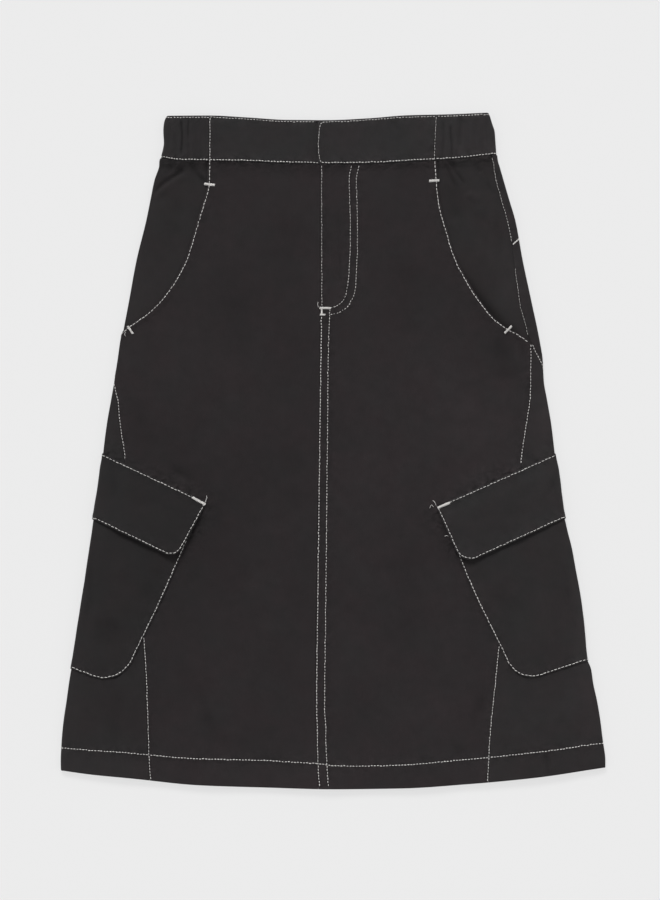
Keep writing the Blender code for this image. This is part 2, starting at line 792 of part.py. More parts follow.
def place_of(turn, level, height):
    """Distance round the cloth from x = 0 of a place on the tube, the inverse of on_tube."""
    middle, half, radius = section(level, height, BODY_FRONT)
    side, size = math.copysign(1.0, turn), abs(turn)
    if size <= 1.0:
        return middle + turn * half
    if size <= 2.0:
        return middle + side * (half + (size - 1.0) * math.pi * radius)
    return middle + side * (half + math.pi * radius + (size - 2.0) * half)


def cut_along(drawing, line, low, high):
    """Cuts a drawn piece along a slanted line, straight between one bend line and the next."""
    turns = [low, *(turn for turn in bend_lines() if low < turn < high), high]
    for start, end in zip(turns, turns[1:]):
        a, b = line(start), line(end)
        a = Vector((a[0] * DRAWING_SCALE, a[1], 0))
        b = Vector((b[0] * DRAWING_SCALE, b[1], 0))
        faces = [
            face
            for face in drawing.faces
            if start * DRAWING_SCALE < face.calc_center_median().x < end * DRAWING_SCALE
        ]
        edges = {side for face in faces for side in face.edges}
        corners = {vert for face in faces for vert in face.verts}
        way = (b - a).normalized()
        bmesh.ops.bisect_plane(
            drawing,
            geom=[*faces, *edges, *corners],
            dist=CUT_TOLERANCE,
            plane_co=a,
            plane_no=(-way.y, way.x, 0),
        )


def add_flap(parent, side_name):
    """A pocket flap, sewn down along its top edge and lying on the pocket below it."""
    corners = FLAP_CORNERS[side_name]
    start, end = corners[0], corners[3]
    slope = (end[1] - start[1]) / (end[0] - start[0])
    across_slope = math.sqrt(1 + slope * slope)
    outline = rounded(corners)
    low, high = min(p[0] for p in outline), max(p[0] for p in outline)
    seats = [
        below_line(start, slope, drop * across_slope) for drop in (FLAP_SEAT, FLAP_SEAT + FLAP_RISE)
    ]
    drawing = drawn(outline, slanted=[(seat, low, high) for seat in seats])

    def above_body(turn, level):
        turn = nearest_turn(turn)
        upper, lower = (seat(turn)[1] for seat in seats)
        return LAYER * clamp((upper - level) / (upper - lower), 0.0, 1.0)

    def outer(turn, level):
        return above_body(turn, level) + LAYER

    def inner(turn, level):
        return above_body(turn, level) + LAYER_GAP

    add_piece(parent, "cargo_flap_" + side_name, "flap_cloth", drawing, outer, inner)


def build():
    for stale in list(bpy.data.objects):
        bpy.data.objects.remove(stale, do_unlink=True)
    skirt = bpy.data.objects.new("cargo_skirt", None)
    bpy.context.scene.collection.objects.link(skirt)
    add_back(skirt)
    for side, side_name in ((-1, "left"), (1, "right")):
        add_facing(skirt, side)
        add_front(skirt, side)
        add_side(skirt, side)
        add_pocket(skirt, side_name)
        add_flap(skirt, side_name)
    add_front_bands(skirt)
    add_back_band(skirt)


build()
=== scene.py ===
"""Looks of the cargo utility skirt, laid flat on a pale floor with its front up.

Each piece of cloth is a thin shell on the form of its CAD solid: a finer drawing of the same unrolled cloth,
wrapped round the same flat tube, with its creases, puckers, gathers and rolled edges. Every stitch is a
short length of thread. Sizes are in millimetres until a mesh is made. Left and right are as seen.

Words: a place is a distance across the unrolled cloth, and a height is as seen from above. The turn says where
round the tube a place is: -1 to 1 across the front, 1 to 2 round a fold, 2 to 3 across half of the back.
The level is the height before the waist and the hem are curved. side is -1 for left and 1 for right.
"""

import math

import bpy
import numpy as np
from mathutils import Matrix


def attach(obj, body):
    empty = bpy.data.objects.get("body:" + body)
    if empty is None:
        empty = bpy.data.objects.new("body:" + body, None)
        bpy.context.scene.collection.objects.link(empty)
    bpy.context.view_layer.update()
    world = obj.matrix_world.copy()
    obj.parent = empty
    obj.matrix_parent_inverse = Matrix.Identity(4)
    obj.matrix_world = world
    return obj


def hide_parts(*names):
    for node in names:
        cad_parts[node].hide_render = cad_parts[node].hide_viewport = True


MM = 0.001
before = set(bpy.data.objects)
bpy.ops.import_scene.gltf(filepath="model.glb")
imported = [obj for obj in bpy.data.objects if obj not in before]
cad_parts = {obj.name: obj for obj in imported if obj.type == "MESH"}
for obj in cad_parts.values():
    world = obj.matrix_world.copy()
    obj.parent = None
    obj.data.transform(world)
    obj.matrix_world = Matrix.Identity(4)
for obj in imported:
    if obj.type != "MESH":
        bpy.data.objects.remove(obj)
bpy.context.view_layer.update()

# ---- the tube of cloth, as in the CAD ----
LAYER = 1.3  # thickness of a layer of cloth, with its space
BODY_FRONT, BAND_FRONT = 5.2, 6.6  # height of the front's outside above the floor
POCKET_LIFT = 2 * LAYER
TOP_LEVEL, WAIST_LEVEL, HEM_LEVEL = 374.0, 324.0, -372.0
HIP_LEVEL, KNEE_LEVEL = 250.0, -240.0  # where the waist's curve and the hem's curve have died away
APEX_LEVEL, SIDE_TOP, TURN_LEVEL = 118.2, 114.2, -346.0  # tip of the hip piece, top of the side piece and of the hem
BACK_DROP = 1.5  # how much shorter the back is than the front, at the waist and at the hem
BACK_FLAT, BACK_DOWN = 2.35, 2.65  # turns between which the back comes down from the pockets to the floor
SEAM = 0.15  # half of the space between two pieces at a seam
LIFT_LEVELS = ((-300, 0), (-262, 1), (30, 1), (75, 0))  # level, share of the lift

EDGES = (
    # share across, top, waist, hem
    (-1, 375, 327.3, -357.8), (-0.9, 375.2, 324.5, -362), (-0.75, 375.3, 324, -366.4),
    (-0.5, 373.1, 323.4, -374), (-0.25, 370.4, 321.5, -376.6), (0, 370.2, 320.7, -378.5),
    (0.25, 372.2, 321.2, -377.6), (0.5, 375.6, 323.6, -372.8), (0.75, 376.6, 326, -365.6),
    (1, 378.5, 331.4, -354.5),
)
FOLDS = (
    # height, left, right
    (-380, -303.4, 304.6), (-347, -304.9, 304.9), (-324, -303.8, 302), (-302, -301.7, 299.3),
    (-280, -298.4, 295.6), (-260, -295.6, 291.2), (-244, -293, 288.8), (-230, -290.4, 283.4),
    (-199, -285.6, 280.5), (-176, -282, 277.9), (-150, -277.8, 273.8), (-130, -274.8, 270),
    (-109, -271.6, 266.1), (-87, -268.4, 260.6), (-64, -265, 255.8), (-30, -259.8, 251.6), (0, -257, 247.8),
    (30, -253.2, 244.2), (57, -248.5, 239.6), (79, -244.7, 235.9), (100, -241.2, 235), (124, -237.8, 231.2),
    (169, -229.5, 221.8), (213, -221.4, 212.4), (258, -210.4, 204.1), (281, -205.7, 197.3),
    (303, -201.2, 190.9), (316, -196.6, 187.2), (330, -192.4, 183.2), (345, -189.4, 181.9),
    (358, -190, 180.9), (368, -189.2, 177.6), (380, -185.8, 175),
)
CENTRE_FRONT = ((-380, -16.6), (-280, -19.6), (150, -14.3), (330, -14.3))  # height, place
FRONT_EDGES = (
    # height, left, right
    (-380, -204.2, 173.5), (-341, -206.8, 175.2), (-318, -207.3, 176.5), (-257, -209.5, 182.8),
    (-211, -212.4, 187.2), (3, -234.9, 213), (34, -239.5, 217.6), (57, -241.6, 221.1), (77, -246.3, 222),
    (APEX_LEVEL, -248.1, 222.3), (131, -239, 207), (139, -229.4, 191.5), (148, -216, 180.5),
    (159, -202.3, 171.2), (175, -188, 159.6), (195.5, -174.6, 147.8), (217, -164, 137),
    (241, -156.8, 129.7), (271, -148, 121.4), (298, -140.5, 117.5), (335, -139.8, 115.8),
)
BACK_EDGES = (
    # height, left, right
    (-380, -437, 408), (-200, -376, 342), (0, -299.5, 271), (91, -262, 235.8), (APEX_LEVEL, -248.1, 222.3),
    (149.5, -239, 213.3), (174, -234, 207.7), (204, -229, 203.8), (241, -224.4, 199.3), (277, -215, 189.8),
    (306, -208, 182.5), (340, -204, 177),
)
BAND_SEAMS = ((320, -138.6, 114.4), (380, -138.6, 116))  # height, left, right
LAP_EDGE, LAP_END, LAP_CORNER = -16.8, 14.0, 5.0  # the lap's end, the end hidden under it, and its rounding
POCKET_CORNERS = {
    # inner top, inner bottom, outer bottom, outer top: place, height, corner radius
    "left": ((-151.5, -76, 2), (-238, -264.4, 36), (-350.8, -222, 14), (-318.4, 1.8, 2)),
    "right": ((124.5, -80, 2), (205.5, -260.4, 31), (344, -215.4, 14), (308.4, 1.5, 2)),
}
FLAP_CORNERS = {
    "left": ((-141, -57.5, 1.5), (-175.5, -121, 15), (-328, -47, 8), (-318.8, 25.4, 1.5)),
    "right": ((115.3, -62.3, 1.5), (144.5, -127.5, 18), (320, -47.5, 8), (308.8, 23.4, 1.5)),
}
POCKET_BOWS = {
    # how the pocket's inner edge bows: middle place, middle height, reach across, reach down, how far
    "left": (-191, -165, 70, 48, 1.8),
    "right": (160, -158, 70, 50, -3),
}

# ---- creases: soft troughs (below 0) and ridges ----
# x and y of the start, the middle and the end, half width, height
FRONT_CREASES = (
    (7.6, 226, 8.2, 204, 7.4, 181, 1.5, -0.8), (-222, 60, -214, 26, -200, -6, 13, -1.7),
    (-236, 116, -232, 92, -233, 66, 7, 1), (-152, -262, -140, -300, -124, -340, 9, -1.6),
    (-122, -318, -118, -330, -112, -344, 4, -0.9), (-190, -14, -170, -26, -146, -44, 6, -1.3),
    (-176, -30, -166, -36, -156, -43, 3, 0.8), (-60, 10, -40, -30, -36, -90, 16, -1.1),
    (-124, 214, -104, 150, -110, 90, 18, -1.1), (-60, 290, -48, 230, -52, 170, 16, -0.8),
    (7, 294, 6.5, 236, 7, 176, 3, -0.8), (186, 136, 191, 100, 200, 66, 12, -1.8),
    (204, 122, 206, 108, 210, 88, 3.2, 0.9), (211, 122, 213, 110, 216, 98, 2.4, -1),
    (208, 50, 210, 42, 208, 34, 3, -0.8), (60, 240, 84, 180, 80, 110, 17, -1.1),
    (166, -276, 168, -284, 164, -296, 4.5, -1), (168, -256, 164, -284, 158, -316, 9, -1.2),
    (130, -322, 140, -338, 154, -344, 6, -1.1), (237, -334, 240, -348, 242, -366, 3.2, -1.5),
    (232, 12, 242, 5, 250, -2, 3, -1), (206, -2, 218, -10, 232, -14, 3.5, -1),
    (172, -18, 180, -24, 190, -28, 3, -1), (60, -100, 86, -160, 80, -230, 18, -1.1),
    (-90, -120, -70, -190, -82, -260, 17, 0.9), (-238, -268, -244, -300, -240, -338, 8, -1.1),
    (262, -266, 270, -290, 268, -318, 9, 1.2), (284, -262, 290, -300, 292, -330, 5, 0.9),
    (-282, -280, -286, -300, -284, -330, 5, 0.8), (140, 70, 150, 20, 138, -20, 14, 1),
    (-170, 150, -166, 110, -180, 70, 13, 0.9), (50, 60, 40, 0, 46, -60, 15, 0.8),
)
FACING_CREASES = (
    (-203, 285, -186, 303, -163, 315, 1.8, -2), (-193, 296, -178, 307, -165, 313, 1.7, -1.5),
    (-201, 280, -184, 297, -164, 308, 4, 1.3), (-176, 310, -171, 313, -166, 314.5, 2.6, -2.9),
    (-160, 325, -153, 311, -141, 299, 2.8, -3.2), (-150, 306, -145, 303, -139, 300, 4.5, -1.6),
    (-148, 320, -145, 308, -138, 300, 2.4, 0.7), (-181, 325, -181, 316, -187, 308, 2.4, -1),
    (-196, 286, -193, 262, -198, 236, 9, 1.3), (-178, 286, -174, 262, -182, 236, 8, -1),
    (131, 325, 138, 311, 149, 297, 2, -2.6), (124, 325, 131, 309, 139, 292, 2.6, -1.8),
    (160, 319, 163, 315, 166, 311, 3, -1.4), (134, 300, 137, 280, 136, 250, 9, -1.6),
    (150, 290, 157, 284, 166, 282, 5, 1.3), (160, 270, 166, 258, 178, 250, 6, -1),
    (172, 302, 176, 292, 182, 286, 2.6, -1.2), (182, 264, 188, 240, 190, 214, 4, -0.8),
    (162, 240, 168, 220, 180, 196, 8, 1.2),
)
POCKET_CREASES = (
    (-244, -186, -252, -208, -246, -228, 15, -1.9), (-272, -110, -270, -150, -276, -200, 4, -1),
    (-282, -120, -281, -170, -286, -215, 3, 0.8), (-190, -130, -204, -150, -210, -176, 9, -1.1),
    (-226, -96, -234, -130, -232, -160, 12, 0.9), (268, -130, 274, -170, 280, -216, 5, 1.4),
    (256, -120, 262, -160, 268, -200, 4.5, -1.1), (180, -150, 190, -170, 214, -190, 12, -1.1),
    (230, -150, 238, -190, 236, -220, 10, 0.9),
)
FLAP_CREASES = (
    (246, -30, 245, -42, 241, -54, 3, -1), (-248, -14, -244, -38, -248, -62, 5, -1),
    (190, -58, 202, -70, 220, -70, 9, -0.9), (-196, -50, -210, -62, -230, -62, 9, -0.8),
)
BACK_CREASES = (
    # the same on the hidden side, as ridges into the skirt
    (-150, 300, -128, 220, -134, 150, 10, 1.3), (-70, 316, -64, 240, -80, 170, 9, 1.4),
    (20, 318, 26, 260, 10, 180, 9, 1.2), (96, 316, 90, 240, 104, 170, 9, 1.4),
    (150, 300, 156, 220, 146, 150, 10, 1.2), (-120, 20, -90, -60, -100, -140, 14, 1.1),
    (60, 60, 84, -20, 76, -120, 15, 1.1), (-40, -120, -10, -190, -24, -290, 14, 1.1),
    (110, -200, 124, -260, 118, -340, 10, 1.3), (-150, -230, -138, -290, -146, -345, 9, 1.3),
    (0, 120, -16, 60, -8, 0, 13, 1),
)
GATHERS = (
    # place, from height, to height, half width, depth
    (-147, 326, 352, 2.4, 0.5), (-153.5, 327, 364, 2.6, 0.6), (-161.4, 352, 370, 1.2, 1.5),
    (-161, 322, 344, 2.2, 0.8), (-169.2, 334, 368, 1.3, 2.1), (-176.4, 322, 352, 2.2, 0.9),
    (-182.5, 344, 370, 2.2, 0.6), (123.4, 330, 366, 1.9, 1.2), (132.4, 324, 362, 1.6, 1.7),
    (142.6, 342, 370, 2.8, 1.1), (138.6, 322, 336, 1.8, 0.8), (150.4, 324, 350, 3, 0.6),
    (159, 334, 370, 3.2, 0.8), (166.5, 324, 350, 2.6, 0.6), (172.6, 346, 372, 2.4, 0.7),
)
FACING_DEPTH = 2.4  # the deepest that a facing's creases sink, clear of the back
FULLNESS, DOME = 2.3, 1.4  # how far the cloth's fullness lifts the front, and a pocket's the pocket
WAIST_STEP, OPENING_STEP, FLY_STEP = 0.7, 0.35, 0.3  # what the allowances inside a seam add
POCKET_PRESS, LAP_PRESS = 1.5, 1.9  # how far a pocket and the lap press down what is under them
MOUTH_LIFT, MOUTH_DROP, MOUTH_SHADE = 4.2, 2.3, 2.7  # the right hip pocket's mouth: front up, facing down, and painted shade in its gap
PLEAT_DEPTH, PLEAT_PITCH = 1.3, 21  # the back's pleats below its elastic band
BAND_ROUND = 2.2  # how far the waistband's top rolls down
FLAP_LOFT = {
    # how far the bottom edge, the inner edge and the corner between them stand off, and the corner's reach
    "left": (2.9, 1.75, 2.5, 20),
    "right": (1.6, 1.15, 2.8, 28),
}
LIGHT_AND_SHADE_PATCHES = (
    # middle x, middle y, reach x, reach y, how much paler, or darker below 0: patches of painted light and shade
    # across the front
    (-165, -95, 110, 150, -0.18), (-130, 270, 60, 60, -0.05), (-62, 30, 55, 60, -0.06),
    (-66, 160, 55, 70, -0.07), (-265, -285, 55, 45, -0.08), (150, 45, 85, 62, 0.14),
    (240, 40, 16, 50, 0.34), (205, 205, 30, 55, 0.18), (131, 275, 24, 30, -0.09), (285, -215, 18, 90, 0.26),
    (250, -40, 40, 40, 0.06), (160, -95, 38, 50, -0.13), (-150, 350, 60, 60, -0.05),
    (150, 350, 70, 40, 0.07), (-180, 300, 50, 30, -0.08), (70, -350, 90, 20, 0.08),
    (-60, -352, 80, 16, 0.05), (235, -358, 70, 14, -0.05), (-235, -358, 80, 14, 0.04),
)

# ---- stitching ----
STITCH_INSET = 1.8  # from the edge of a pocket or a flap
WAIST_STITCH, TOP_STITCH, BACK_HEM_STITCH = WAIST_LEVEL + 1.9, TOP_LEVEL - 2.0, -345.0
# places and heights of lines that don't follow an edge
CENTRE_LEFT = (
    (-12.9, 150.6), (-14.9, 0), (-16.7, -140), (-18.3, -279.4), (-17.8, -301.8), (-16.7, -350),
    (-15.2, -375.2),
)
CENTRE_RIGHT = (
    (-3.8, 150), (-5.4, 100), (-7.8, -140), (-9.4, -279.4), (-8.3, -301.8), (-7.4, -340), (-5.4, -375.4),
)
FLY_EDGE = ((-12.7, 319.4), (-12.6, 161.8))
FLY_INNER = (
    (20.8, 319.4), (18.2, 305), (18.7, 278), (19.5, 241), (19.1, 224), (18, 202), (16.7, 188),
    (15.4, 179.5), (13.8, 173), (11.4, 168.3), (8.2, 164.9), (4.6, 162.4), (-0.6, 160.7), (-3.5, 160.2),
)
FLY_OUTER = (
    (29.2, 319.4), (26.2, 305), (26.9, 278), (27.2, 224.6), (26, 200), (25.5, 186), (24.6, 179),
    (23, 173.4), (21, 168.4), (18.3, 163.6), (14.9, 160), (10.8, 157.2), (7, 155.2), (2.7, 153.6),
    (-3.4, 152.7),
)
SIDE_SEAM = (
    (178.1, 328), (179.8, 322), (180.5, 314), (182.1, 305.6), (184.1, 296.8), (186.1, 290), (189.4, 277),
    (192.2, 268.6), (194.8, 259), (196.9, 249), (198.9, 240.4), (200.1, 234),
)
SIDE_SEAM_LOW = (
    (203.5, 204.4), (204.8, 193.6), (206.3, 184.6), (207.7, 173.6), (209.9, 160.4), (213, 149.3),
    (215.8, 139.8), (218, 129.4),
)
HEM_STITCH = (
    (-330, -346), (-303, -346.4), (-258, -344), (-202, -343.2), (-90, -341.9), (-20, -343.6), (14, -346.2),
    (48, -346.2), (131, -344.6), (234, -343.6), (300, -344.3), (330, -345),
)
LAP_STITCH = (
    (-9, 368), (-11.6, 367.6), (-14, 365.6), (-15.2, 362.2), (-15.9, 354), (-16.2, 342), (-15.8, 332), (-14.6, 325.6),
    (-12.9, 322.7),
)
BARTACKS = (
    # layer, from place, from height, to place, to height, thickness
    ("front_left", -143.8, 298.8, -132.6, 297.4, 2.6), ("front_right", 107.8, 302, 118.6, 302.6, 2.6),
    ("front_left", -229.6, 139.6, -224, 131.2, 2.2), ("front_right", 192, 131.8, 199.6, 139.6, 2.2),
    ("back", 201.4, 231.2, 208, 237, 1.2), ("front_right", -14.9, 159.9, -2.6, 159.7, 2.2),
    ("front_right", -14.4, 152.5, -8.8, 152.3, 1.8), ("front_right", -12.7, 158.8, -12.5, 153.4, 1.7),
    ("flap_left", -157.2, -51.9, -143, -59.9, 2.6), ("flap_right", 117.2, -63.6, 130.4, -58, 2.6),
)
LOOSE_THREADS = (
    # layer, then places and heights along it
    ("flap_left", ((-143.6, -59), (-142.2, -55.6), (-141, -52), (-141.6, -50))),
    ("front_right", ((112.6, -62.8), (110.2, -60.4), (108.9, -62), (108.2, -64.2))),
    ("front_right", ((115.4, -61.2), (113.8, -57.4), (111.6, -55.4))),
    ("front_right", ((125, -95.4), (127, -94.6), (129.2, -95.8))),
    ("front_right", ((-16.4, 160.6), (-17.2, 164), (-16.6, 166.6))),
    ("front_left", ((-231.6, 133), (-233.2, 131.2), (-232.2, 128.4))),
)
WEIGHTS = {
    # how thick the thread of each line of a layer looks
    "front_left": (0.95, 0.88, 0.98, 1.2),
    "front_right": (1.01, 1.02, 1.02, 1.2, 1.16, 1.02, 0.77, 0.84, 0.82, 0.84),
    "side_left": (1.14,),
    "side_right": (1.2,),
    "back": (0.6, 0.56, 1, 1, 1),
    "pocket_left": (0.95,),
    "pocket_right": (1,),
    "flap_left": (0.91,),
    "flap_right": (0.87,),
    "band_left": (1.16, 0.78, 1.04),
    "band_right": (1.16, 0.78, 0.86, 0.68),
    "band_back": (1.14, 0.9),
}
STITCH_RELIEF = {
    # kind of piece: depth of the valley under its stitches, height of the puckers beside them, their reach
    "pocket": (0.36, 0.4, 6),
    "flap": (0.36, 0.34, 6),
    "band": (0.36, 0.2, 4),
}
BODY_RELIEF = (0.38, 0.36, 6)
THREAD = 0.385  # radius
PITCH, POCKET_PITCH = 3.4, 4.2
STITCH_GAP, POCKET_GAP = 0.30, 0.16  # share of the pitch
STATIONS = np.array((0, 0.22, 0.78, 1))  # along a stitch
RISES = np.array((-0.32, 0.15, 0.15, -0.32))
SIZES = np.array((0.62, 1, 1, 0.62))
SIDES = 6
BAR_STITCH, BAR_THREAD, LOOSE_THREAD = 0.42, 0.27, 0.24  # a bartack's pitch, and the radii of the other threads
BAR_RISES = np.array((-0.1, 0.42, 0.42, -0.1))

# ---- pieces of cloth ----
PIECES = {
    # layer: the solid that it stands for, its material's slot, its painted light and shade (left pieces painted
    # darker, right ones lighter), and the layers it lies on
    "front_left": ("front_panel_left", "front_cloth", 1, ("hip_left", "back")),
    "front_right": ("front_panel_right", "front_cloth", 1, ("hip_right", "back")),
    "hip_left": ("hip_facing_left", "facing_cloth", 1, ("back",)),
    "hip_right": ("hip_facing_right", "facing_cloth", 1, ("back",)),
    "side_left": ("side_panel_left", "side_cloth", 0.97, ("back",)),
    "side_right": ("side_panel_right", "side_cloth", 1.03, ("back",)),
    "back": ("back_panel", "back_cloth", 1, ()),
    "band_left": ("waistband_front_left", "band_cloth", 1, ("band_back",)),
    "band_right": ("waistband_front_right", "band_cloth", 1, ("band_left", "band_back")),
    "band_back": ("waistband_back", "band_cloth", 1, ()),
    "pocket_left": ("cargo_pocket_left", "pocket_cloth", 0.94, ("front_left", "side_left")),
    "pocket_right": ("cargo_pocket_right", "pocket_cloth", 1.05, ("front_right", "side_right")),
    "flap_left": ("cargo_flap_left", "flap_cloth", 0.91, ("pocket_left", "front_left")),
    "flap_right": ("cargo_flap_right", "flap_cloth", 1.08, ("pocket_right", "front_right")),
}
CLOTH, BAND_CLOTH, FLAP_CLOTH, HEM_TURN = 0.85, 1.35, 0.95, 0.95  # thicknesses, and what a turned-up hem adds
LIP = 0.12  # how far an edge's middle stands out
EDGE_STEP, FOLD_STEP, STEP_GROWTH = 0.42, 0.75, 0.3  # finest steps of a grid, and how fast its steps grow
PAINTED_CREASE_SHADE = 0.09  # painted shade: how much darker the cloth is painted for each millimetre down a crease, and a little paler up a ridge
EDGE_WEAR_AND_TOP_HIGHLIGHT, HEM_SHADE = 0.12, 0.1  # how much paler worn edges and the turned-up hem are; the first also paints a highlight along the waistband's top
# roll of the edges: depth and reach at the left, the right, the top and the bottom
PANEL_ROLL = ((0.45, 1.1), (0.45, 1.1), (0.5, 1.5), (0.6, 1.2))
SIDE_ROLL = ((0.6, 1.6), (0.6, 1.6), (0.4, 1), (0.6, 1.2))
BAND_ROLL = ((0.5, 1.2), (0.5, 1.2), (0.5, 1.2), (0.45, 1.2))
HIP_ROLL = ((0.1, 1),) * 4
PATCH_ROLL = (0.45, 1.2)
# levels or places that need a finer grid, and how fine
HEM_FINER = ((-345, 0.9),)
HIP_FINER = ((309, 1), (170, 1.5))
FLY_FINER = ((1.8, 0.5), (10, 0.6), (32.8, 0.8), (42.5, 0.8))


def ease(value):
    """A smooth step from 0 to 1."""
    share = np.clip(value, 0, 1)
    return share * share * (3 - 2 * share)


def spot(x, y, mid_x, mid_y, reach_x, reach_y):
    """A soft spot, 1 in its middle."""
    return np.exp(-(((x - mid_x) / reach_x) ** 2) - ((y - mid_y) / reach_y) ** 2)


def unit(vectors):
    """Vectors brought to a length of 1."""
    return vectors / np.maximum(np.linalg.norm(vectors, axis=-1, keepdims=True), 1e-9)


def smooth(table, column):
    """A table's column as a smooth function that never swings past its rows."""
    at, value = np.array([(row[0], row[column]) for row in table], float).T
    chord = np.diff(value) / np.diff(at)
    before, after = np.append(chord[0], chord), np.append(chord, chord[-1])
    alike = before * after > 0
    slope = np.where(alike, 2 * before * after / np.where(alike, before + after, 1), 0)

    def read(x):
        x = np.clip(x, at[0], at[-1])
        i = np.clip(np.searchsorted(at, x, "right") - 1, 0, len(at) - 2)
        span = at[i + 1] - at[i]
        t = (x - at[i]) / span
        start = value[i] * (1 + 2 * t) + span * slope[i] * t
        end = value[i + 1] * (3 - 2 * t) + span * slope[i + 1] * (t - 1)
        return start * (1 - t) ** 2 + end * t * t

    return read


edge_top, edge_waist, edge_hem = (smooth(EDGES, i) for i in (1, 2, 3))
fold_left, fold_right = (smooth(FOLDS, i) for i in (1, 2))
centre_front, hem_level = smooth(CENTRE_FRONT, 1), smooth(HEM_STITCH, 1)
front_edge, back_edge, band_seam = (
    {-1: smooth(table, 1), 1: smooth(table, 2)} for table in (FRONT_EDGES, BACK_EDGES, BAND_SEAMS)
)


def across_of(turn):
    """Share of the half width, below 0 on the left."""
    size = np.abs(turn)
    return np.sign(turn) * np.minimum(np.minimum(size, 3 - size), 1)


def bend(turn, level):
    """How far the waist's or hem's curve moves a row of the cloth."""
    across = across_of(turn)
    behind = BACK_DROP * ease((np.abs(turn) - 1.5) * 2)
    top = edge_top(across) - TOP_LEVEL - behind
    waist = edge_waist(across) - WAIST_LEVEL
    hem = edge_hem(across) - HEM_LEVEL + behind
    above = (level - WAIST_LEVEL) / (TOP_LEVEL - WAIST_LEVEL)
    hip = np.clip((level - HIP_LEVEL) / (WAIST_LEVEL - HIP_LEVEL), 0, 1)
    knee = np.clip((KNEE_LEVEL - level) / (KNEE_LEVEL - TURN_LEVEL), 0, 1)
    return np.where(level >= WAIST_LEVEL, waist + above * (top - waist), waist * hip + hem * knee)


def front_of(layer):
    """Height of a layer's front above the floor, before its own offsets."""
    return BAND_FRONT if layer.startswith("band") else BODY_FRONT


def lift(level):
    """Height of the back's sides above the floor, where they lie on the pockets."""
    return POCKET_LIFT * np.interp(level, *zip(*LIFT_LEVELS))


def section(level, height, front):
    """Middle and half width of the laid tube's flat part, and the radius of its folds."""
    radius = (front - lift(level)) / 2
    left, right = fold_left(height), fold_right(height)
    return (left + right) / 2, (right - left) / 2 - radius, radius


def around(place, middle, half, radius):
    """The turn of a place."""
    arc = math.pi * radius
    rest, turn = np.abs(place - middle), 0
    for length, share in ((half, 1), (arc, 1), (half, 2), (arc, 1), (half, 1)):
        turn = turn + np.clip(rest / length, 0, share)
        rest = rest - length * share
    return np.sign(place - middle) * np.where(turn > 3, turn - 6, turn)


def girth(level, height, front):
    """Distance once round the cloth."""
    _, half, radius = section(level, height, front)
    return 4 * half + 2 * math.pi * radius


def at_height(place, height, front):
    """The (turn, level) of a point of the cloth."""
    level = height
    for _ in range(7):
        turn = around(place, *section(level, height, front))
        level = height - bend(turn, level)
    return turn, level


def at_level(place_of, level, front):
    """Place, height and turn of points whose place is a function of height and level."""
    height = level
    for _ in range(7):
        place = place_of(height, level)
        turn = around(place, *section(level, height, front))
        height = level + bend(turn, level)
    return place, height, turn


def laid(turn, level, height, front, out=0, up=0):
    """World places of points that stand out from the tube by out, and up from the floor by up."""
    middle, half, radius = section(level, height, front)
    size = np.abs(turn)
    angle = np.clip(size - 1, 0, 1) * math.pi
    x = middle + across_of(turn) * half + np.sign(turn) * (radius + out) * np.sin(angle)
    share = 1 - ease((size - BACK_FLAT) / (BACK_DOWN - BACK_FLAT))
    z_front = front + out + up
    z_fold = lift(level) + radius + (radius + out) * np.cos(angle)
    z_back = lift(level) * share - out + up
    z = np.where(size <= 1, z_front, np.where(size < 2, z_fold, z_back))
    return np.stack(np.broadcast_arrays(x, height, z), axis=-1)


# ---- lines and relief ----
def lengths_of(line):
    """Distance along a line to each of its corners."""
    return np.append(0, np.cumsum(np.linalg.norm(np.diff(line, axis=0), axis=1)))


def spaced(line, shares):
    """Points at some shares of a line's length."""
    lengths = lengths_of(line)
    return np.stack([np.interp(np.asarray(shares) * lengths[-1], lengths, line[:, k]) for k in (0, 1)], axis=-1)


def curve(points, step=4.0):
    """A smooth line through some points, with a corner every few millimetres."""
    points = np.array(points, float)
    padded = np.vstack([2 * points[0] - points[1], points, 2 * points[-1] - points[-2]])
    parts = []
    for i in range(1, len(padded) - 2):
        a, b, c, d = padded[i - 1 : i + 3]
        count = max(1, int(np.linalg.norm(c - b) / step))
        t = (np.arange(count) / count)[:, None]
        cubic = (2 * a - 5 * b + 4 * c - d) * t**2 + (3 * b - a - 3 * c + d) * t**3
        parts.append(0.5 * (2 * b + (c - a) * t + cubic))
    return np.vstack([*parts, points[-1:]])


def nearest(x, y, line, closed=False):
    """Distance of points from a line, and how far along it the nearest place is."""
    line = np.vstack([line, line[:1]]) if closed else line
    best, along = np.full(np.shape(x), 1e9), np.zeros(np.shape(x))
    travelled = 0
    for (ax, ay), (bx, by) in zip(line[:-1], line[1:]):
        length = math.hypot(bx - ax, by - ay)
        t = np.clip(((x - ax) * (bx - ax) + (y - ay) * (by - ay)) / max(length * length, 1e-9), 0, 1)
        distance = np.hypot(x - ax - t * (bx - ax), y - ay - t * (by - ay))
        closer = distance < best
        best = np.where(closer, distance, best)
        along = np.where(closer, travelled + t * length, along)
        travelled += length
    return best, along


def close_by(x, y, corners, reach):
    """Which points are within reach of the box round some corners."""
    low, high = np.min(corners, axis=0) - reach, np.max(corners, axis=0) + reach
    return (x > low[0]) & (x < high[0]) & (y > low[1]) & (y < high[1])


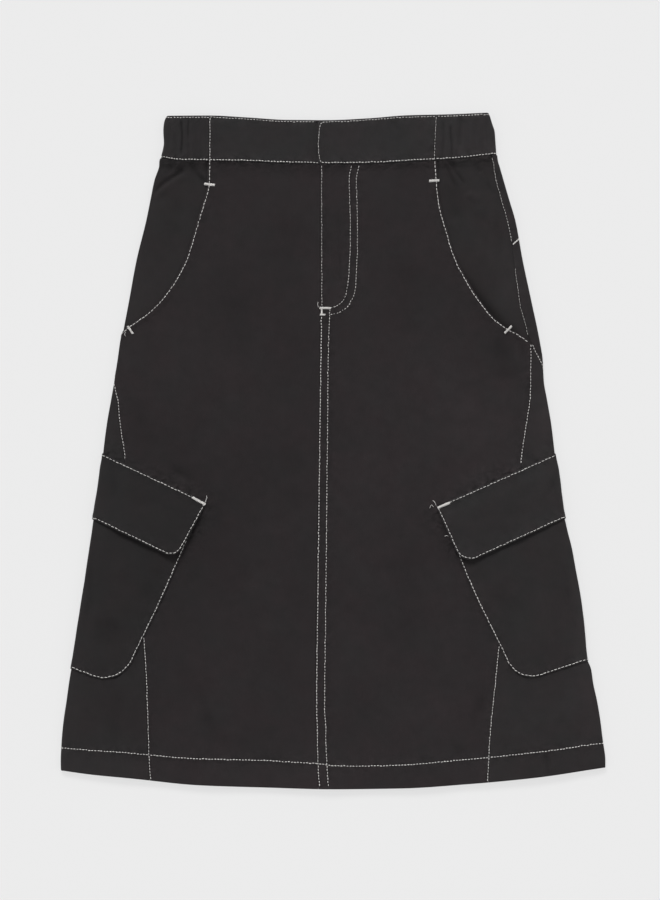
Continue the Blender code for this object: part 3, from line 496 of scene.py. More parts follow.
def creased(x, y, table):
    """Troughs and ridges of a table of creases, uneven along their length."""
    total = np.zeros(np.shape(x))
    for i, (*points, half_width, height) in enumerate(table):
        points = np.reshape(points, (3, 2))
        near = close_by(x, y, points, 3 * half_width)
        if not near.any():
            continue
        line = curve(points, 12)
        distance, along = nearest(x[near], y[near], line)
        share = along / lengths_of(line)[-1]
        taper = ease(share / 0.35 + 0.1) * ease((1 - share) / 0.35 + 0.1)
        uneven = 1 + 0.25 * np.sin(along / 11 + i) + 0.15 * np.sin(along / 5.3 + 2 * i)
        width = half_width * (0.8 + 0.35 * np.sin(share * 3 + i * 1.7) ** 2)
        total[near] += height * uneven * taper * np.exp(-((distance / width) ** 2))
    return total


def waves(x, y, seed, low, high, count=9):
    """Soft unevenness between about -1 and 1, of wavelengths from low to high."""
    random = np.random.default_rng(seed)
    total = 0
    for _ in range(count):
        way, start = random.uniform(0, 2 * math.pi, 2)
        length = math.exp(random.uniform(math.log(low), math.log(high)))
        total = total + np.sin((x * math.cos(way) + y * math.sin(way)) * 2 * math.pi / length + start)
    return total / count * 1.8


def scattered(seed, count, box, heights):
    """A table of faint creases strewn over a box of (low x, high x, low y, high y)."""
    random = np.random.default_rng(seed)
    rows = []
    for _ in range(count):
        x, y = random.uniform(*box[:2]), random.uniform(*box[2:])
        lean, length = random.normal(math.pi / 2, 0.6), random.uniform(24, 80)
        dx, dy = math.cos(lean) * length / 2, math.sin(lean) * length / 2
        bow = random.normal(0, 0.12)
        half_width, height = random.uniform(3.5, 8), random.uniform(*heights)
        rows.append((x - dx, y - dy, x - dy * bow, y + dx * bow, x + dx, y + dy, half_width, height))
    return rows


FRONT_SMALL = scattered(5, 60, (-290, 290, -350, 300), (-0.5, 0.35))
BACK_SMALL = scattered(9, 60, (-290, 290, -350, 320), (0.2, 0.6))


def pucker(along, seed):
    """Uneven gathering of cloth along a line of stitches, between about -1 and 1."""
    return (
        0.55 * np.sin(along / 1.45 + seed + 1.3 * np.sin(along / 5.1 + seed))
        + 0.35 * np.sin(along / 2.6 + 2.1 * seed)
        + 0.25 * np.sin(along / 6.3 + 0.7 * seed)
    )


def stitched(x, y, lines, depth, wave, reach):
    """The valley and puckers that lines of stitches make in the cloth."""
    total = np.zeros(np.shape(x))
    for i, line in enumerate(lines):
        near = close_by(x, y, line, 20)
        if near.any():
            distance, along = nearest(x[near], y[near], line)
            total[near] += wave * np.exp(-distance / reach) * pucker(along, i + 1)
            total[near] -= depth * np.exp(-(distance**2))
    return total


def inwards(turn, level, height, front):
    """Distance from the nearest fold on the flat of the front or back, and 0 round the folds."""
    size = np.abs(turn)
    return np.maximum(np.maximum(1 - size, size - 2), 0) * section(level, height, front)[1]


def shared_relief(x, y, turn, level, from_fold):
    """Fullness and unevenness that all the layers of the front, or of the back, have in common."""
    off_fold = ease(from_fold / 16)
    below_waist = WAIST_LEVEL - level
    front = 0.8 * waves(x, y, 1, 70, 190) + 0.22 * waves(x, y, 2, 24, 60)
    front = front + creased(x, y, FRONT_CREASES) + creased(x, y, FRONT_SMALL)
    front = front * (0.35 + 0.65 * ease(below_waist / 40)) * off_fold
    fullness = FULLNESS * (1 - np.exp(-from_fold / 9)) * (0.25 + 0.75 * ease(below_waist / 60))
    front = front + fullness * (0.6 + 0.4 * ease((level - HEM_LEVEL) / 50))
    back = 0.4 + 0.4 * waves(x, y, 3, 60, 170) + creased(x, y, BACK_CREASES) + creased(x, y, BACK_SMALL)
    return np.where(np.abs(turn) < 1.5, front, np.maximum(back, 0) * off_fold)


# ---- outlines of pockets and flaps ----
def sides_of(corners):
    """Each side of an outline: its start, its direction and the direction inwards from it."""
    points = np.array([corner[:2] for corner in corners])
    middle = points.mean(axis=0)
    sides = []
    for start, end in zip(points, np.roll(points, -1, axis=0)):
        way = unit(end - start)
        inward = np.array((-way[1], way[0]))
        sides.append((start, way, inward if inward @ (middle - start) > 0 else -inward))
    return sides


def inside(place, y, corners):
    """Distance inside a pocket's or flap's four sides."""
    return np.min([(place - a[0]) * way[0] + (y - a[1]) * way[1] for a, _, way in sides_of(corners)], axis=0)


def inset_corners(corners, inset):
    """The corners of an outline moved inside it."""
    sides = [(start + inward * inset, way) for start, way, inward in sides_of(corners)]
    moved = []
    for i, corner in enumerate(corners):
        (a, u), (b, v) = sides[i - 1], sides[i]
        t = np.linalg.solve(np.column_stack([u, -v]), b - a)[0]
        moved.append((*(a + u * t), max(corner[2] - inset, 0.6)))
    return moved


def quarters(corners, steps=7):
    """An outline's four sides, each from the middle of one rounded corner to the middle of the next."""
    arcs = []
    for i, (x, y, radius) in enumerate(corners):
        corner = np.array((x, y))
        before, after = (unit(np.array(corners[k % 4][:2]) - corner) for k in (i - 1, i + 1))
        half_angle = math.acos(float(before @ after)) / 2
        centre = corner + unit(before + after) * radius / math.sin(half_angle)
        start, end = (corner + way * radius / math.tan(half_angle) - centre for way in (before, after))
        first = math.atan2(start[1], start[0])
        sweep = (math.atan2(end[1], end[0]) - first + math.pi) % (2 * math.pi) - math.pi
        angles = first + sweep * np.linspace(0, 1, 2 * steps + 1)
        arcs.append(centre + radius * np.column_stack([np.cos(angles), np.sin(angles)]))
    return [np.vstack([arcs[i][steps:], arcs[(i + 1) % 4][: steps + 1]]) for i in range(4)]


def outline_of(corners):
    return np.vstack([side[:-1] for side in quarters(corners)])


def bowed(points, side_name):
    """Points of a pocket, with its inner edge bowed towards the centre."""
    *where, amount = POCKET_BOWS[side_name]
    x, y = points[..., 0], points[..., 1]
    return np.stack([x + amount * spot(x, y, *where), y], axis=-1)


def pocket_stitches(side_name, step=16.0):
    """The line of stitches round a pocket."""
    line = outline_of(inset_corners(POCKET_CORNERS[side_name], STITCH_INSET))
    parts = []
    for a, b in zip(line[:-1], line[1:]):
        parts.append(np.linspace(a, b, max(1, round(np.linalg.norm(b - a) / step)), endpoint=False))
    return bowed(np.vstack([*parts, line[-1:]]), side_name)


# ---- layers: where the outside of each piece is ----
def edge_line(edge, low, high, inset, step=8.0):
    """A line down an edge of the body, moved across by an inset."""
    levels = np.linspace(high, low, int((high - low) / step) + 2)
    place, height, _ = at_level(lambda y, level: edge(y) + inset, levels, BODY_FRONT)
    return np.column_stack([place, height])


def level_line(start, end, level, front=BODY_FRONT, step=9.0):
    """A line across the cloth from one place to another. level is a number or a function of place."""
    places = np.linspace(start, end, int(abs(end - start) / step) + 2)
    levels = level(places) if callable(level) else np.full(len(places), level)
    height = at_level(lambda y, row: places, levels, front)[1]
    return np.column_stack([places, height])


def band_back_line(start, end, level):
    """A line round the back of the band, from one place to another past the tube's whole girth."""
    return level_line(start, girth(level, level, BAND_FRONT) + end, level, BAND_FRONT)


body_round, band_round = girth(BACK_HEM_STITCH, BACK_HEM_STITCH, BODY_FRONT), girth(350.0, 350.0, BAND_FRONT)
pocket_lines = {s: pocket_stitches(s) for s in POCKET_CORNERS}
flap_lines = {s: outline_of(inset_corners(FLAP_CORNERS[s], STITCH_INSET)) for s in FLAP_CORNERS}
LINES = {
    "front_left": [
        edge_line(front_edge[-1], APEX_LEVEL + 6, WAIST_LEVEL - 0.5, 2.1),
        edge_line(front_edge[-1], -9, 96, 0.9),
        edge_line(front_edge[-1], HEM_LEVEL + 1, -32, 0.9),
        level_line(-205, -17, hem_level),
    ],
    "front_right": [
        edge_line(front_edge[1], APEX_LEVEL + 4, WAIST_LEVEL - 0.5, -2.1),
        edge_line(front_edge[1], -14, APEX_LEVEL + 1, -0.9),
        edge_line(front_edge[1], HEM_LEVEL + 1, -36, -0.9),
        level_line(-16, 174, hem_level),
        *map(curve, (CENTRE_LEFT, CENTRE_RIGHT, FLY_EDGE, FLY_INNER, FLY_OUTER)),
        curve(((-3.8, 158.6), (-3.8, 150))),
    ],
    "side_left": [level_line(-436, -206.6, hem_level)],
    "side_right": [level_line(176, 407, hem_level)],
    "back": [
        curve(SIDE_SEAM),
        curve(SIDE_SEAM_LOW),
        edge_line(back_edge[1], HEM_LEVEL + 1, APEX_LEVEL + 1, 1),
        edge_line(back_edge[-1], HEM_LEVEL + 1, WAIST_LEVEL - 1, -1),
        level_line(409, body_round - 438, BACK_HEM_STITCH),
    ],
    "pocket_left": [pocket_lines["left"]],
    "pocket_right": [pocket_lines["right"]],
    "flap_left": [flap_lines["left"]],
    "flap_right": [flap_lines["right"]],
    "band_left": [
        level_line(-138, -16, WAIST_STITCH, BAND_FRONT),
        level_line(-138, -17.5, TOP_STITCH, BAND_FRONT),
        curve(((-137.7, 372.8), (-137.8, 350), (-137.9, 322.8))),
    ],
    "band_right": [
        level_line(-12.9, 113.6, WAIST_STITCH, BAND_FRONT),
        level_line(-9, 114.6, TOP_STITCH, BAND_FRONT),
        curve(LAP_STITCH),
        curve(((115.3, 373.6), (114.1, 344), (113.5, 325.6))),
    ],
    "band_back": [band_back_line(115.4, -139.6, WAIST_STITCH), band_back_line(116.8, -139.4, TOP_STITCH)],
}
GAPE_LINE = edge_line(front_edge[1], 128, 204, 0, 6)
GAPE_LENGTH = lengths_of(GAPE_LINE)[-1]


def gape(x, y, height, reach):
    """How far the right pocket opening stands off its facing, most at its edge."""
    distance, along = nearest(x, y, GAPE_LINE)
    open_part = np.sin(math.pi * np.clip(along / GAPE_LENGTH, 0, 1)) ** 1.3
    return height * open_part * np.exp(-((distance / reach) ** 1.6))


def gathers(y, place, rows):
    """Depth of the elasticated band's gathers."""
    total = np.zeros(np.shape(y))
    for i, (across, low, high, half_width, depth) in enumerate(rows):
        near = np.abs(place - across) < 4 * half_width + 3
        if near.any():
            up = y[near]
            sway = 0.7 * np.sin(up / 7 + 2 * i)
            ends = ease((up - low + 6) / 9) * ease((high + 5 - up) / 8)
            total[near] += depth * ends * np.exp(-(((place[near] - across - sway) / half_width) ** 2))
    return total


def strewn_gathers():
    """Uneven gathers across the hidden side of the band, with those that show."""
    random = np.random.default_rng(21)
    rows = list(GATHERS)
    place = 180
    while place < band_round - 188:
        low, high = sorted(random.uniform(318, 374, 2))
        across = place if place < band_round / 2 else place - band_round
        half_width, depth = random.uniform(1.5, 2.6), random.uniform(0.7, 1.9)
        rows.append((across, min(low, 340), max(high, 350), half_width, depth))
        place += random.uniform(5.5, 11)
    return rows


ALL_GATHERS = strewn_gathers()


def flap_free(place, y, side_name, size):
    """How far a flap has climbed onto its pocket, and how far its free edges stand off."""
    a, b, c, d = (corner[:2] for corner in FLAP_CORNERS[side_name])
    (bottom, along), (inner, _), (top, _) = (nearest(place, y, np.array(ends)) for ends in ((b, c), (a, b), (a, d)))
    bottom_loft, inner_loft, corner_loft, reach = FLAP_LOFT[side_name]
    climb = ease((top - 3) / 17)
    wave = 1 + 0.3 * np.sin(along / 13 + a[0]) + 0.15 * np.sin(along / 5)
    free = bottom_loft * wave * np.exp(-bottom / 12) + inner_loft * np.exp(-inner / 9)
    free = free + corner_loft * np.exp(-np.hypot(place - b[0], y - b[1]) / reach)
    return climb, free * climb * (0.3 + 0.7 * ease((1.02 - size) * 20)) * ease((1.9 - size) / 0.7)


def seen_x(layer, turn, level, height):
    """Where across the laid skirt some points are."""
    return laid(turn, level, height, front_of(layer))[..., 0]


def layer_offsets(layer, place, y, turn, level):
    """(out, up, hollow) of a layer's outside: off the tube, off the floor, and how deep in a crease it is, which the
    shells paint as shade.
    """
    kind, _, side_name = layer.partition("_")
    side = 1 if side_name == "right" else -1
    size = np.abs(turn)
    is_front, on_fold = size < 1.5, (size > 1) & (size < 2)
    x = seen_x(layer, turn, level, y)
    from_fold, below_waist = inwards(turn, level, y, front_of(layer)), WAIST_LEVEL - level
    flat = ease(from_fold / 5) * is_front
    in_pocket = inside(place, y, POCKET_CORNERS[side_name]) if side_name in POCKET_CORNERS else None
    shared = up = shared_relief(x, y, turn, level, from_fold)
    # hollow is the crease depth that the shell paints as shade
    hollow = creased(x, y, FRONT_CREASES) * flat
    out = stitched(place, y, LINES.get(layer, ()), *STITCH_RELIEF.get(kind, BODY_RELIEF))
    out = np.where(is_front, out, np.minimum(out, 0)) * np.where(on_fold, 0.5, 1)
    if kind in ("front", "side", "hip", "back"):  # the seam allowances under the waistband
        out = out + WAIST_STEP * ease((9 - below_waist) / 8)
    if kind in ("front", "side"):  # pressed down by the pocket
        up = up - POCKET_PRESS * ease((in_pocket - 4) / 8) * flat
    if kind == "front":  # the folded edge of the opening
        from_edge = side * (front_edge[side](y) - place)
        out = out + OPENING_STEP * (1 - ease((from_edge - 8) / 2)) * (level < WAIST_LEVEL - 4)
    if layer == "front_right":  # the fly's seam, and the mouth of the hip pocket
        out = out + FLY_STEP * (1 - ease((place - centre_front(y) - 12) / 2))
        up = up + gape(place, y, MOUTH_LIFT, 15) * (x > 60) * flat
    if kind == "hip":  # the facing in the pocket opening
        mouth = gape(place, y, 1, 5.2) * (side_name == "right")
        own = (creased(x, y, FACING_CREASES) - MOUTH_DROP * mouth) * flat
        # painted shade in the right pocket's mouth, where its gap lies in shadow
        hollow = own - MOUTH_SHADE * mouth
        seen = ease(side * (place - front_edge[side](y)) / 5) * ease(side * (back_edge[side](y) - place) / 5)
        out = out - LAYER * (1 - 0.92 * seen * ease((11 - below_waist) / 9))
        up = up + FACING_DEPTH * np.tanh(own / FACING_DEPTH)
    if kind == "back":  # the pleats that the elastic draws in
        pleat = 0.5 - 0.5 * np.cos(2 * math.pi * x / PLEAT_PITCH + 1.5 * np.sin(x / 17))
        up = up + PLEAT_DEPTH * ease((y - (WAIST_LEVEL - 75)) / 75) * pleat * ease((size - 2.12) / 0.18)
    if kind in ("pocket", "flap"):
        hollow = creased(x, y, POCKET_CREASES) * flat
        up = up + DOME * ease(in_pocket / 34) * ease(from_fold / 40) * is_front + hollow
        out = out + LAYER
    if kind == "flap":
        climb, free = flap_free(place, y, side_name, size)
        hollow = creased(x, y, FLAP_CREASES) * flat
        up = shared * (1 - climb) + up * climb + hollow
        out = out + LAYER * climb + free
    if kind == "band":  # rounded at its top
        out = out - BAND_ROUND * (1 - np.sqrt(1 - np.clip(1 - (TOP_LEVEL - level) / 12, 0, 1) ** 2 * 0.98))
    if layer == "band_left":  # under the lap
        out = out - LAP_PRESS * ease((place - (LAP_EDGE - 13)) / 12)
    if layer == "band_back":
        round_band = girth(level, y, BAND_FRONT)
        pinched = gathers(y, np.where(place > round_band / 2, place - round_band, place), ALL_GATHERS)
        # the gathers' depth is also painted as shade in them
        hollow = -pinched
        out = out - pinched * np.where(on_fold, 0.45, 1)
    return out, up, hollow


def drawn_in(layer, place, y, level):
    """How much the sewing beside a place puckers the cloth, from 0 to 1. The material turns it into bumps, and into
    painted shade and highlight.
    """
    kind, _, side_name = layer.partition("_")
    seams = list(LINES.get(layer, ()))
    near = np.zeros(np.shape(place))
    if kind in ("front", "side"):
        seams += [flap_lines[side_name], pocket_lines[side_name]]
        distance, along = nearest(place, y, flap_lines[side_name])
        near = np.exp(-distance / 9) * (0.7 + 0.3 * np.sin(along / 17))
    for line in seams:
        near = np.maximum(near, 0.45 * np.exp(-nearest(place, y, line)[0] / 5))
    if kind in ("front", "hip", "side"):
        near = np.maximum(near, 0.8 * np.exp(-(WAIST_LEVEL - level) / 6))
    return near


def on_layer(layer, place, height, above=0.0):
    """World places of points on the outside of a layer."""
    front = front_of(layer)
    turn, level = at_height(place, height, front)
    out, up, _ = layer_offsets(layer, place, height, turn, level)
    return laid(turn, level, height, front, out + above, up)


# ---- materials ----
class Nodes:
    """A material's nodes, added and linked by short calls."""

    def __init__(self, name):
        self.material = bpy.data.materials.new(name)
        self.material.use_nodes = True
        self.tree = self.material.node_tree
        self.shader = self.tree.nodes["Principled BSDF"]

    def put(self, node, inputs):
        """Links or sets a node's inputs, by their numbers or their names."""
        for key, value in inputs.items():
            socket = node.inputs[key.replace("_", " ") if isinstance(key, str) else key]
            if isinstance(value, bpy.types.NodeSocket):
                self.tree.links.new(value, socket)
            else:
                socket.default_value = value

    def add(self, kind, settings=(), *values, **inputs):
        node = self.tree.nodes.new("ShaderNode" + kind)
        for key, value in dict(settings).items():
            setattr(node, key, value)
        self.put(node, dict(enumerate(values)) | inputs)
        return node

    def finish(self, **inputs):
        """The material, with its shader's inputs."""
        self.put(self.shader, inputs)
        return self.material

    def uv(self):
        return self.add("UVMap", {"uv_map": "cloth"}).outputs[0]

    def noise(self, vector, scale, detail, rough, bent=0.0):
        names = dict(Vector=vector, Scale=scale, Detail=detail, Roughness=rough, Distortion=bent)
        return self.add("TexNoise", **names).outputs[0]

    def bands(self, uv, scale, bent, **inputs):
        """Slanting ribs."""
        settings = {"wave_type": "BANDS", "bands_direction": "DIAGONAL", "wave_profile": "SIN"}
        return self.add("TexWave", settings, Vector=uv, Scale=scale, Distortion=bent, **inputs).outputs["Fac"]

    def marked(self, name):
        """A number that the mesh holds at each of its points."""
        return self.add("Attribute", {"attribute_name": name}).outputs["Fac"]

    def maths(self, operation, *values):
        return self.add("Math", {"operation": operation}, *values).outputs[0]

    def product(self, first, *others):
        for other in others:
            first = self.maths("MULTIPLY", first, other)
        return first

    def scaled(self, value, factor, plus):
        return self.maths("MULTIPLY_ADD", value, factor, plus)

    def dyed(self, colour, tone):
        return self.add("VectorMath", {"operation": "SCALE"}, colour, Scale=tone).outputs[0]

    def bump(self, height, **inputs):
        return self.add("Bump", Height=height, **inputs).outputs[0]


def cloth_material(name, colour, roughness):
    """Washed black cotton twill: fine slanting ribs, slubs along the warp, mottled dye, paler worn edges, painted
    light and shade from the points' shade, and painted shade and highlight on puckers beside seams.
    """
    n = Nodes(name)
    uv = n.uv()
    mottle, fine = n.noise(uv, 75, 4, 0.65), n.noise(uv, 1500, 2, 0.6)
    slub = n.noise(n.add("Mapping", {"vector_type": "POINT"}, Vector=uv, Scale=(900, 140, 1)).outputs[0], 1, 2, 0.5)
    ribs = n.bands(uv, 360, 2.5, Detail=1.5, Detail_Scale=1.2)
    drawn, puckered = n.marked("drawn"), n.noise(uv, 135, 1.5, 0.5, 0.4)
    tone = n.scaled(n.noise(uv, 9, 3, 0.55), 0.44, 0.78)
    for source, amount in ((mottle, 0.7), (slub, 0.26), (fine, 0.34), (ribs, 0.18)):
        tone = n.product(tone, n.scaled(source, amount, 1 - amount / 2))
    # painted shade and highlight: puckers beside seams painted darker and paler, besides their bump
    painted_pucker_shade = n.scaled(n.product(n.maths("SUBTRACT", puckered, 0.55), drawn), 3.3, 1)
    tone = n.product(tone, painted_pucker_shade, n.marked("shade"))
    warm = n.add("MapRange", Value=n.noise(uv, 22, 3, 0.6), From_Min=0.36, From_Max=0.64).outputs[0]
    cool_colour, warm_colour = (
        (*(part * factor for part, factor in zip(colour, factors)), 1)
        for factors in ((0.965, 1.02, 1.01), (1.035, 0.98, 0.99))
    )
    tint = n.add("Mix", {"data_type": "RGBA"})
    n.put(tint, {0: warm, 6: cool_colour, 7: warm_colour})
    height = n.maths("ADD", n.product(ribs, 0.55), n.product(slub, 0.5))
    weave = n.bump(n.maths("ADD", height, n.product(fine, 0.6)), Strength=0.5, Distance=0.00012)
    return n.finish(
        Base_Color=n.dyed(tint.outputs[2], tone),
        Roughness=n.scaled(mottle, 0.12, roughness - 0.06),
        Specular_IOR_Level=0.22,
        Sheen_Weight=0.06,
        Sheen_Roughness=0.5,
        Normal=n.bump(n.product(puckered, drawn), Strength=1, Distance=0.0055, Normal=weave),
    )


def thread_material(name, colour):
    """Off-white twisted sewing thread."""
    n = Nodes(name)
    uv = n.uv()
    twist = n.bands(uv, 700, 0.6)
    tone = n.product(n.scaled(n.noise(uv, 60, 3, 0.6), 0.36, 0.80), n.scaled(twist, 0.12, 0.92))
    return n.finish(
        Base_Color=n.dyed(colour, tone),
        Roughness=0.6,
        Specular_IOR_Level=0.35,
        Sheen_Weight=0.15,
        Normal=n.bump(twist, Strength=0.6, Distance=0.00008),
    )


CLOTH_COLOURS = {
    # slot: colour, roughness
    "front_cloth": ((0.0162, 0.0131, 0.0139), 0.9),
    "side_cloth": ((0.016, 0.0138, 0.0143), 0.9),
    "back_cloth": ((0.016, 0.0136, 0.0142), 0.9),
    "facing_cloth": ((0.016, 0.0139, 0.0143), 0.91),
    "band_cloth": ((0.018, 0.0163, 0.0168), 0.89),
    "pocket_cloth": ((0.0152, 0.0133, 0.0137), 0.9),
    "flap_cloth": ((0.0154, 0.0138, 0.0142), 0.89),
}
materials = {slot: cloth_material(slot + "_twill", *look) for slot, look in CLOTH_COLOURS.items()}
thread = thread_material("topstitch_thread", (0.60, 0.582, 0.563))


# ---- shells of cloth ----
pieces = {}


def new_piece(name, points, faces, flat, material):
    """A smooth piece of some points. flat is where each of them is on the unrolled cloth."""
    mesh = bpy.data.meshes.new(name)
    mesh.from_pydata((points * MM).tolist(), [], faces)
    mesh.update()
    corners = np.empty(len(mesh.loops), dtype=np.int32)
    mesh.loops.foreach_get("vertex_index", corners)
    mesh.uv_layers.new(name="cloth").data.foreach_set("uv", (flat * MM)[corners].ravel())
    mesh.polygons.foreach_set("use_smooth", np.ones(len(mesh.polygons), dtype=bool))
    mesh.materials.append(material)
    piece = bpy.data.objects.new(name, mesh)
    bpy.context.scene.collection.objects.link(piece)
    return piece


def painted_light_and_shade(x, y, turn):
    """Painted light and shade across the front: soft patches painted paler or darker."""
    pale = 1 + sum(amount * spot(x, y, *where) for *where, amount in LIGHT_AND_SHADE_PATCHES)
    return np.where(np.abs(turn) < 1.5, pale, 1)


def wall(layer, place, height, turn, level, thickness, drop, shade):
    """A closed shell of cloth over a grid of points."""
    node, slot, _, _ = PIECES[layer]
    front = front_of(layer)
    out, up, hollow = layer_offsets(layer, place, height, turn, level)
    outer = laid(turn, level, height, front, out - drop, up)
    inner = laid(turn, level, height, front, out - 0.5 * drop - thickness, up)
    rows, columns = place.shape
    ring = [(0, c) for c in range(columns - 1)] + [(r, columns - 1) for r in range(rows - 1)]
    ring += [(rows - 1, c) for c in range(columns - 1, 0, -1)] + [(r, 0) for r in range(rows - 1, 0, -1)]
    r, c = np.array(ring).T
    through = unit(outer[r, c] - inner[r, c])
    away = outer[r, c] - outer[np.clip(r, 1, rows - 2), np.clip(c, 1, columns - 2)]
    away -= through * (away * through).sum(axis=-1, keepdims=True)
    lips = (outer[r, c] + inner[r, c]) / 2 + LIP * unit(away)
    count = rows * columns
    index = np.arange(count).reshape(rows, columns)
    quads = np.stack([index[:-1, :-1], index[1:, :-1], index[1:, 1:], index[:-1, 1:]], axis=-1).reshape(-1, 4)
    faces = [*quads.tolist(), *(quads[:, ::-1] + count).tolist()]
    rim = index[r, c].tolist()
    for k, corner in enumerate(rim):
        after = (k + 1) % len(rim)
        faces.append((corner, rim[after], 2 * count + after, 2 * count + k))
        faces.append((2 * count + k, 2 * count + after, rim[after] + count, corner + count))

    def thrice(grid):
        """A grid's values for the outside, the inside and the lips."""
        values = grid.reshape(count, -1)
        return np.vstack([values, values, values[rim]])

    points = np.vstack([outer.reshape(-1, 3), inner.reshape(-1, 3), lips])
    places = thrice(np.stack([place, height], axis=-1))
    piece = new_piece(f"{layer}_cloth", points, faces, places, materials[slot])
    # painted shade: darker down creases, gathers and the pocket's mouth, a little paler on ridges; then patches of
    # painted light and shade
    crease_paint = 1 + PAINTED_CREASE_SHADE * np.clip(hollow, -5, 0.5)
    shade = shade * crease_paint * painted_light_and_shade(seen_x(layer, turn, level, height), height, turn)
    for mark, grid in (("shade", shade), ("drawn", drawn_in(layer, place, height, level))):
        piece.data.attributes.new(mark, "FLOAT", "POINT").data.foreach_set("value", thrice(grid).ravel())
    pieces[layer] = piece
    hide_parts(node)


def paced(at, spacing, count=None):
    """Places along a line, as far apart as spacing says at each sample."""
    total = np.append(0, np.cumsum(np.abs(np.diff(at)) * 2 / (spacing[1:] + spacing[:-1])))
    count = count or max(3, math.ceil(total[-1]))
    return np.interp(np.linspace(0, total[-1], count + 1), total, at), total[-1]


def paced_rows(shares, width, spacing):
    """The same for every row of a grid, all with as many columns: shares of each row's width."""
    at = shares * width
    count = math.ceil(max(paced(a, gap)[1] for a, gap in zip(at, spacing)))
    return np.stack([paced(a, gap, count)[0] for a, gap in zip(at, spacing)]) / width


def finest(step, *near):
    """Spacing of at most a step, and finer near each place where a distance is 0."""
    for distance, fine in near:
        step = np.minimum(step, fine + STEP_GROWTH * np.abs(distance))
    return step


def levels_of(top, bottom, step, near, finer=()):
    """Levels of a grid's rows, closer near both ends and near some levels."""
    at = np.linspace(top, bottom, 3000)
    ends = np.minimum(top - at, at - bottom)
    return paced(at, finest(step, (ends, near), *((at - level, fine) for level, fine in finer)))[0]


def edge_roll(distance, depth, reach):
    """How far cloth drops towards an edge."""
    return depth * (1 - np.sqrt(np.clip(1 - (1 - np.minimum(distance / reach, 1)) ** 2, 0, 1)))


def worn_edge(distance, wave):
    """How much paler an edge is worn."""
    return EDGE_WEAR_AND_TOP_HIGHLIGHT * np.exp(-distance / 1.3) * (0.6 + 0.4 * np.sin(wave))


def panel(layer, left, right, levels, step, roll, thickness, finer=(), samples=400):
    """A panel between two edges, given as functions of (height, level)."""
    front = front_of(layer)

    def laid_out(shares):
        """Level, place, height and turn of a grid at some shares of each row's width."""
        level = np.repeat(levels[:, None], shares.shape[1], axis=1)
        return level, *at_level(lambda y, row: left(y, row) + shares * (right(y, row) - left(y, row)), level, front)

    shares = np.linspace(0, 1, samples)[None]
    level, place, height, turn = laid_out(shares)
    width = place[:, -1:] - place[:, :1]
    near = [(np.minimum(shares, 1 - shares) * width, EDGE_STEP), (inwards(turn, level, height, front), FOLD_STEP)]
    near += [(place - place[:, :1] - at, fine) for at, fine in finer]
    shares = paced_rows(shares, width, finest(step, *near))
    level, place, height, turn = laid_out(shares)
    distances = (shares * width, (1 - shares) * width, levels[0] - level, level - levels[-1])
    drop = np.zeros(place.shape)
    # starts from the piece's painted light and shade, darker on the left and lighter on the right
    shade = PIECES[layer][2] + np.zeros(place.shape)
    for distance, (depth, reach) in zip(distances, roll):
        drop = np.maximum(drop, edge_roll(distance, depth, reach))
        shade += worn_edge(distance, level / 7 + place / 9)
    if front == BODY_FRONT:
        shade += HEM_SHADE * (level < TURN_LEVEL)
    else:
        # painted highlight along the waistband's rounded top
        shade += EDGE_WEAR_AND_TOP_HIGHLIGHT * ease(1 - (TOP_LEVEL - level) / 14)
    wall(layer, place, height, turn, level, thickness(level) if callable(thickness) else thickness, drop, shade)


def hem_thickness(level):
    """One layer of cloth, and two where the hem is turned up."""
    return CLOTH + HEM_TURN * ease((TURN_LEVEL + 0.5 - level) / 1.2)


def moved(edge, shift):
    """An edge of a piece, as a function of (height, level)."""
    return lambda y, level: edge(y) + shift


def once_round(edge, front):
    """A left edge that is reached round the back."""
    return lambda y, level: girth(level, y, front) + edge(y) - SEAM


def build_body():
    top = WAIST_LEVEL - SEAM
    levels = levels_of(top, HEM_LEVEL, 3.2, 0.5, HEM_FINER)
    halves = (
        ("front_left", moved(front_edge[-1], SEAM), moved(centre_front, -SEAM), ()),
        ("front_right", moved(centre_front, SEAM), moved(front_edge[1], -SEAM), FLY_FINER),
    )
    for layer, left, right, finer in halves:
        panel(layer, left, right, levels, 3.3, PANEL_ROLL, hem_thickness, finer)
    levels = levels_of(top, HEM_LEVEL, 4.2, 0.5, HEM_FINER)
    back = moved(back_edge[1], SEAM), once_round(back_edge[-1], BODY_FRONT)
    panel("back", *back, levels, 4.2, PANEL_ROLL, hem_thickness, samples=1600)
    hip_levels = levels_of(top, APEX_LEVEL - 6, 2, 0.9, HIP_FINER)
    side_levels = levels_of(SIDE_TOP, HEM_LEVEL, 3.3, 0.7, HEM_FINER)
    for side, word in ((-1, "left"), (1, "right")):
        edges = moved(front_edge[side], -side * 14), moved(back_edge[side], side * 5)
        panel(f"hip_{word}", *edges[::side], hip_levels, 1.6, HIP_ROLL, CLOTH)
        edges = moved(front_edge[side], side * SEAM), moved(back_edge[side], -side * SEAM)
        panel(f"side_{word}", *edges[::side], side_levels, 3.3, SIDE_ROLL, hem_thickness)


def lap_end(y, level):
    """The lap's end, rounded at its top."""
    into = np.clip((level - (TOP_LEVEL - LAP_CORNER)) / LAP_CORNER, 0, 0.999)
    return LAP_EDGE + LAP_CORNER * (1 - np.sqrt(1 - into**2))


def build_bands():
    rest = levels_of(TOP_LEVEL, WAIST_LEVEL + SEAM, 1.9, 0.5), 2.6, BAND_ROLL, BAND_CLOTH
    panel("band_left", moved(band_seam[-1], SEAM), lambda y, level: LAP_END, *rest)
    panel("band_right", lap_end, moved(band_seam[1], -SEAM), *rest)
    back = moved(band_seam[1], SEAM), once_round(band_seam[-1], BAND_FRONT)
    panel("band_back", *back, rest[0], 1.15, *rest[2:], samples=1600)


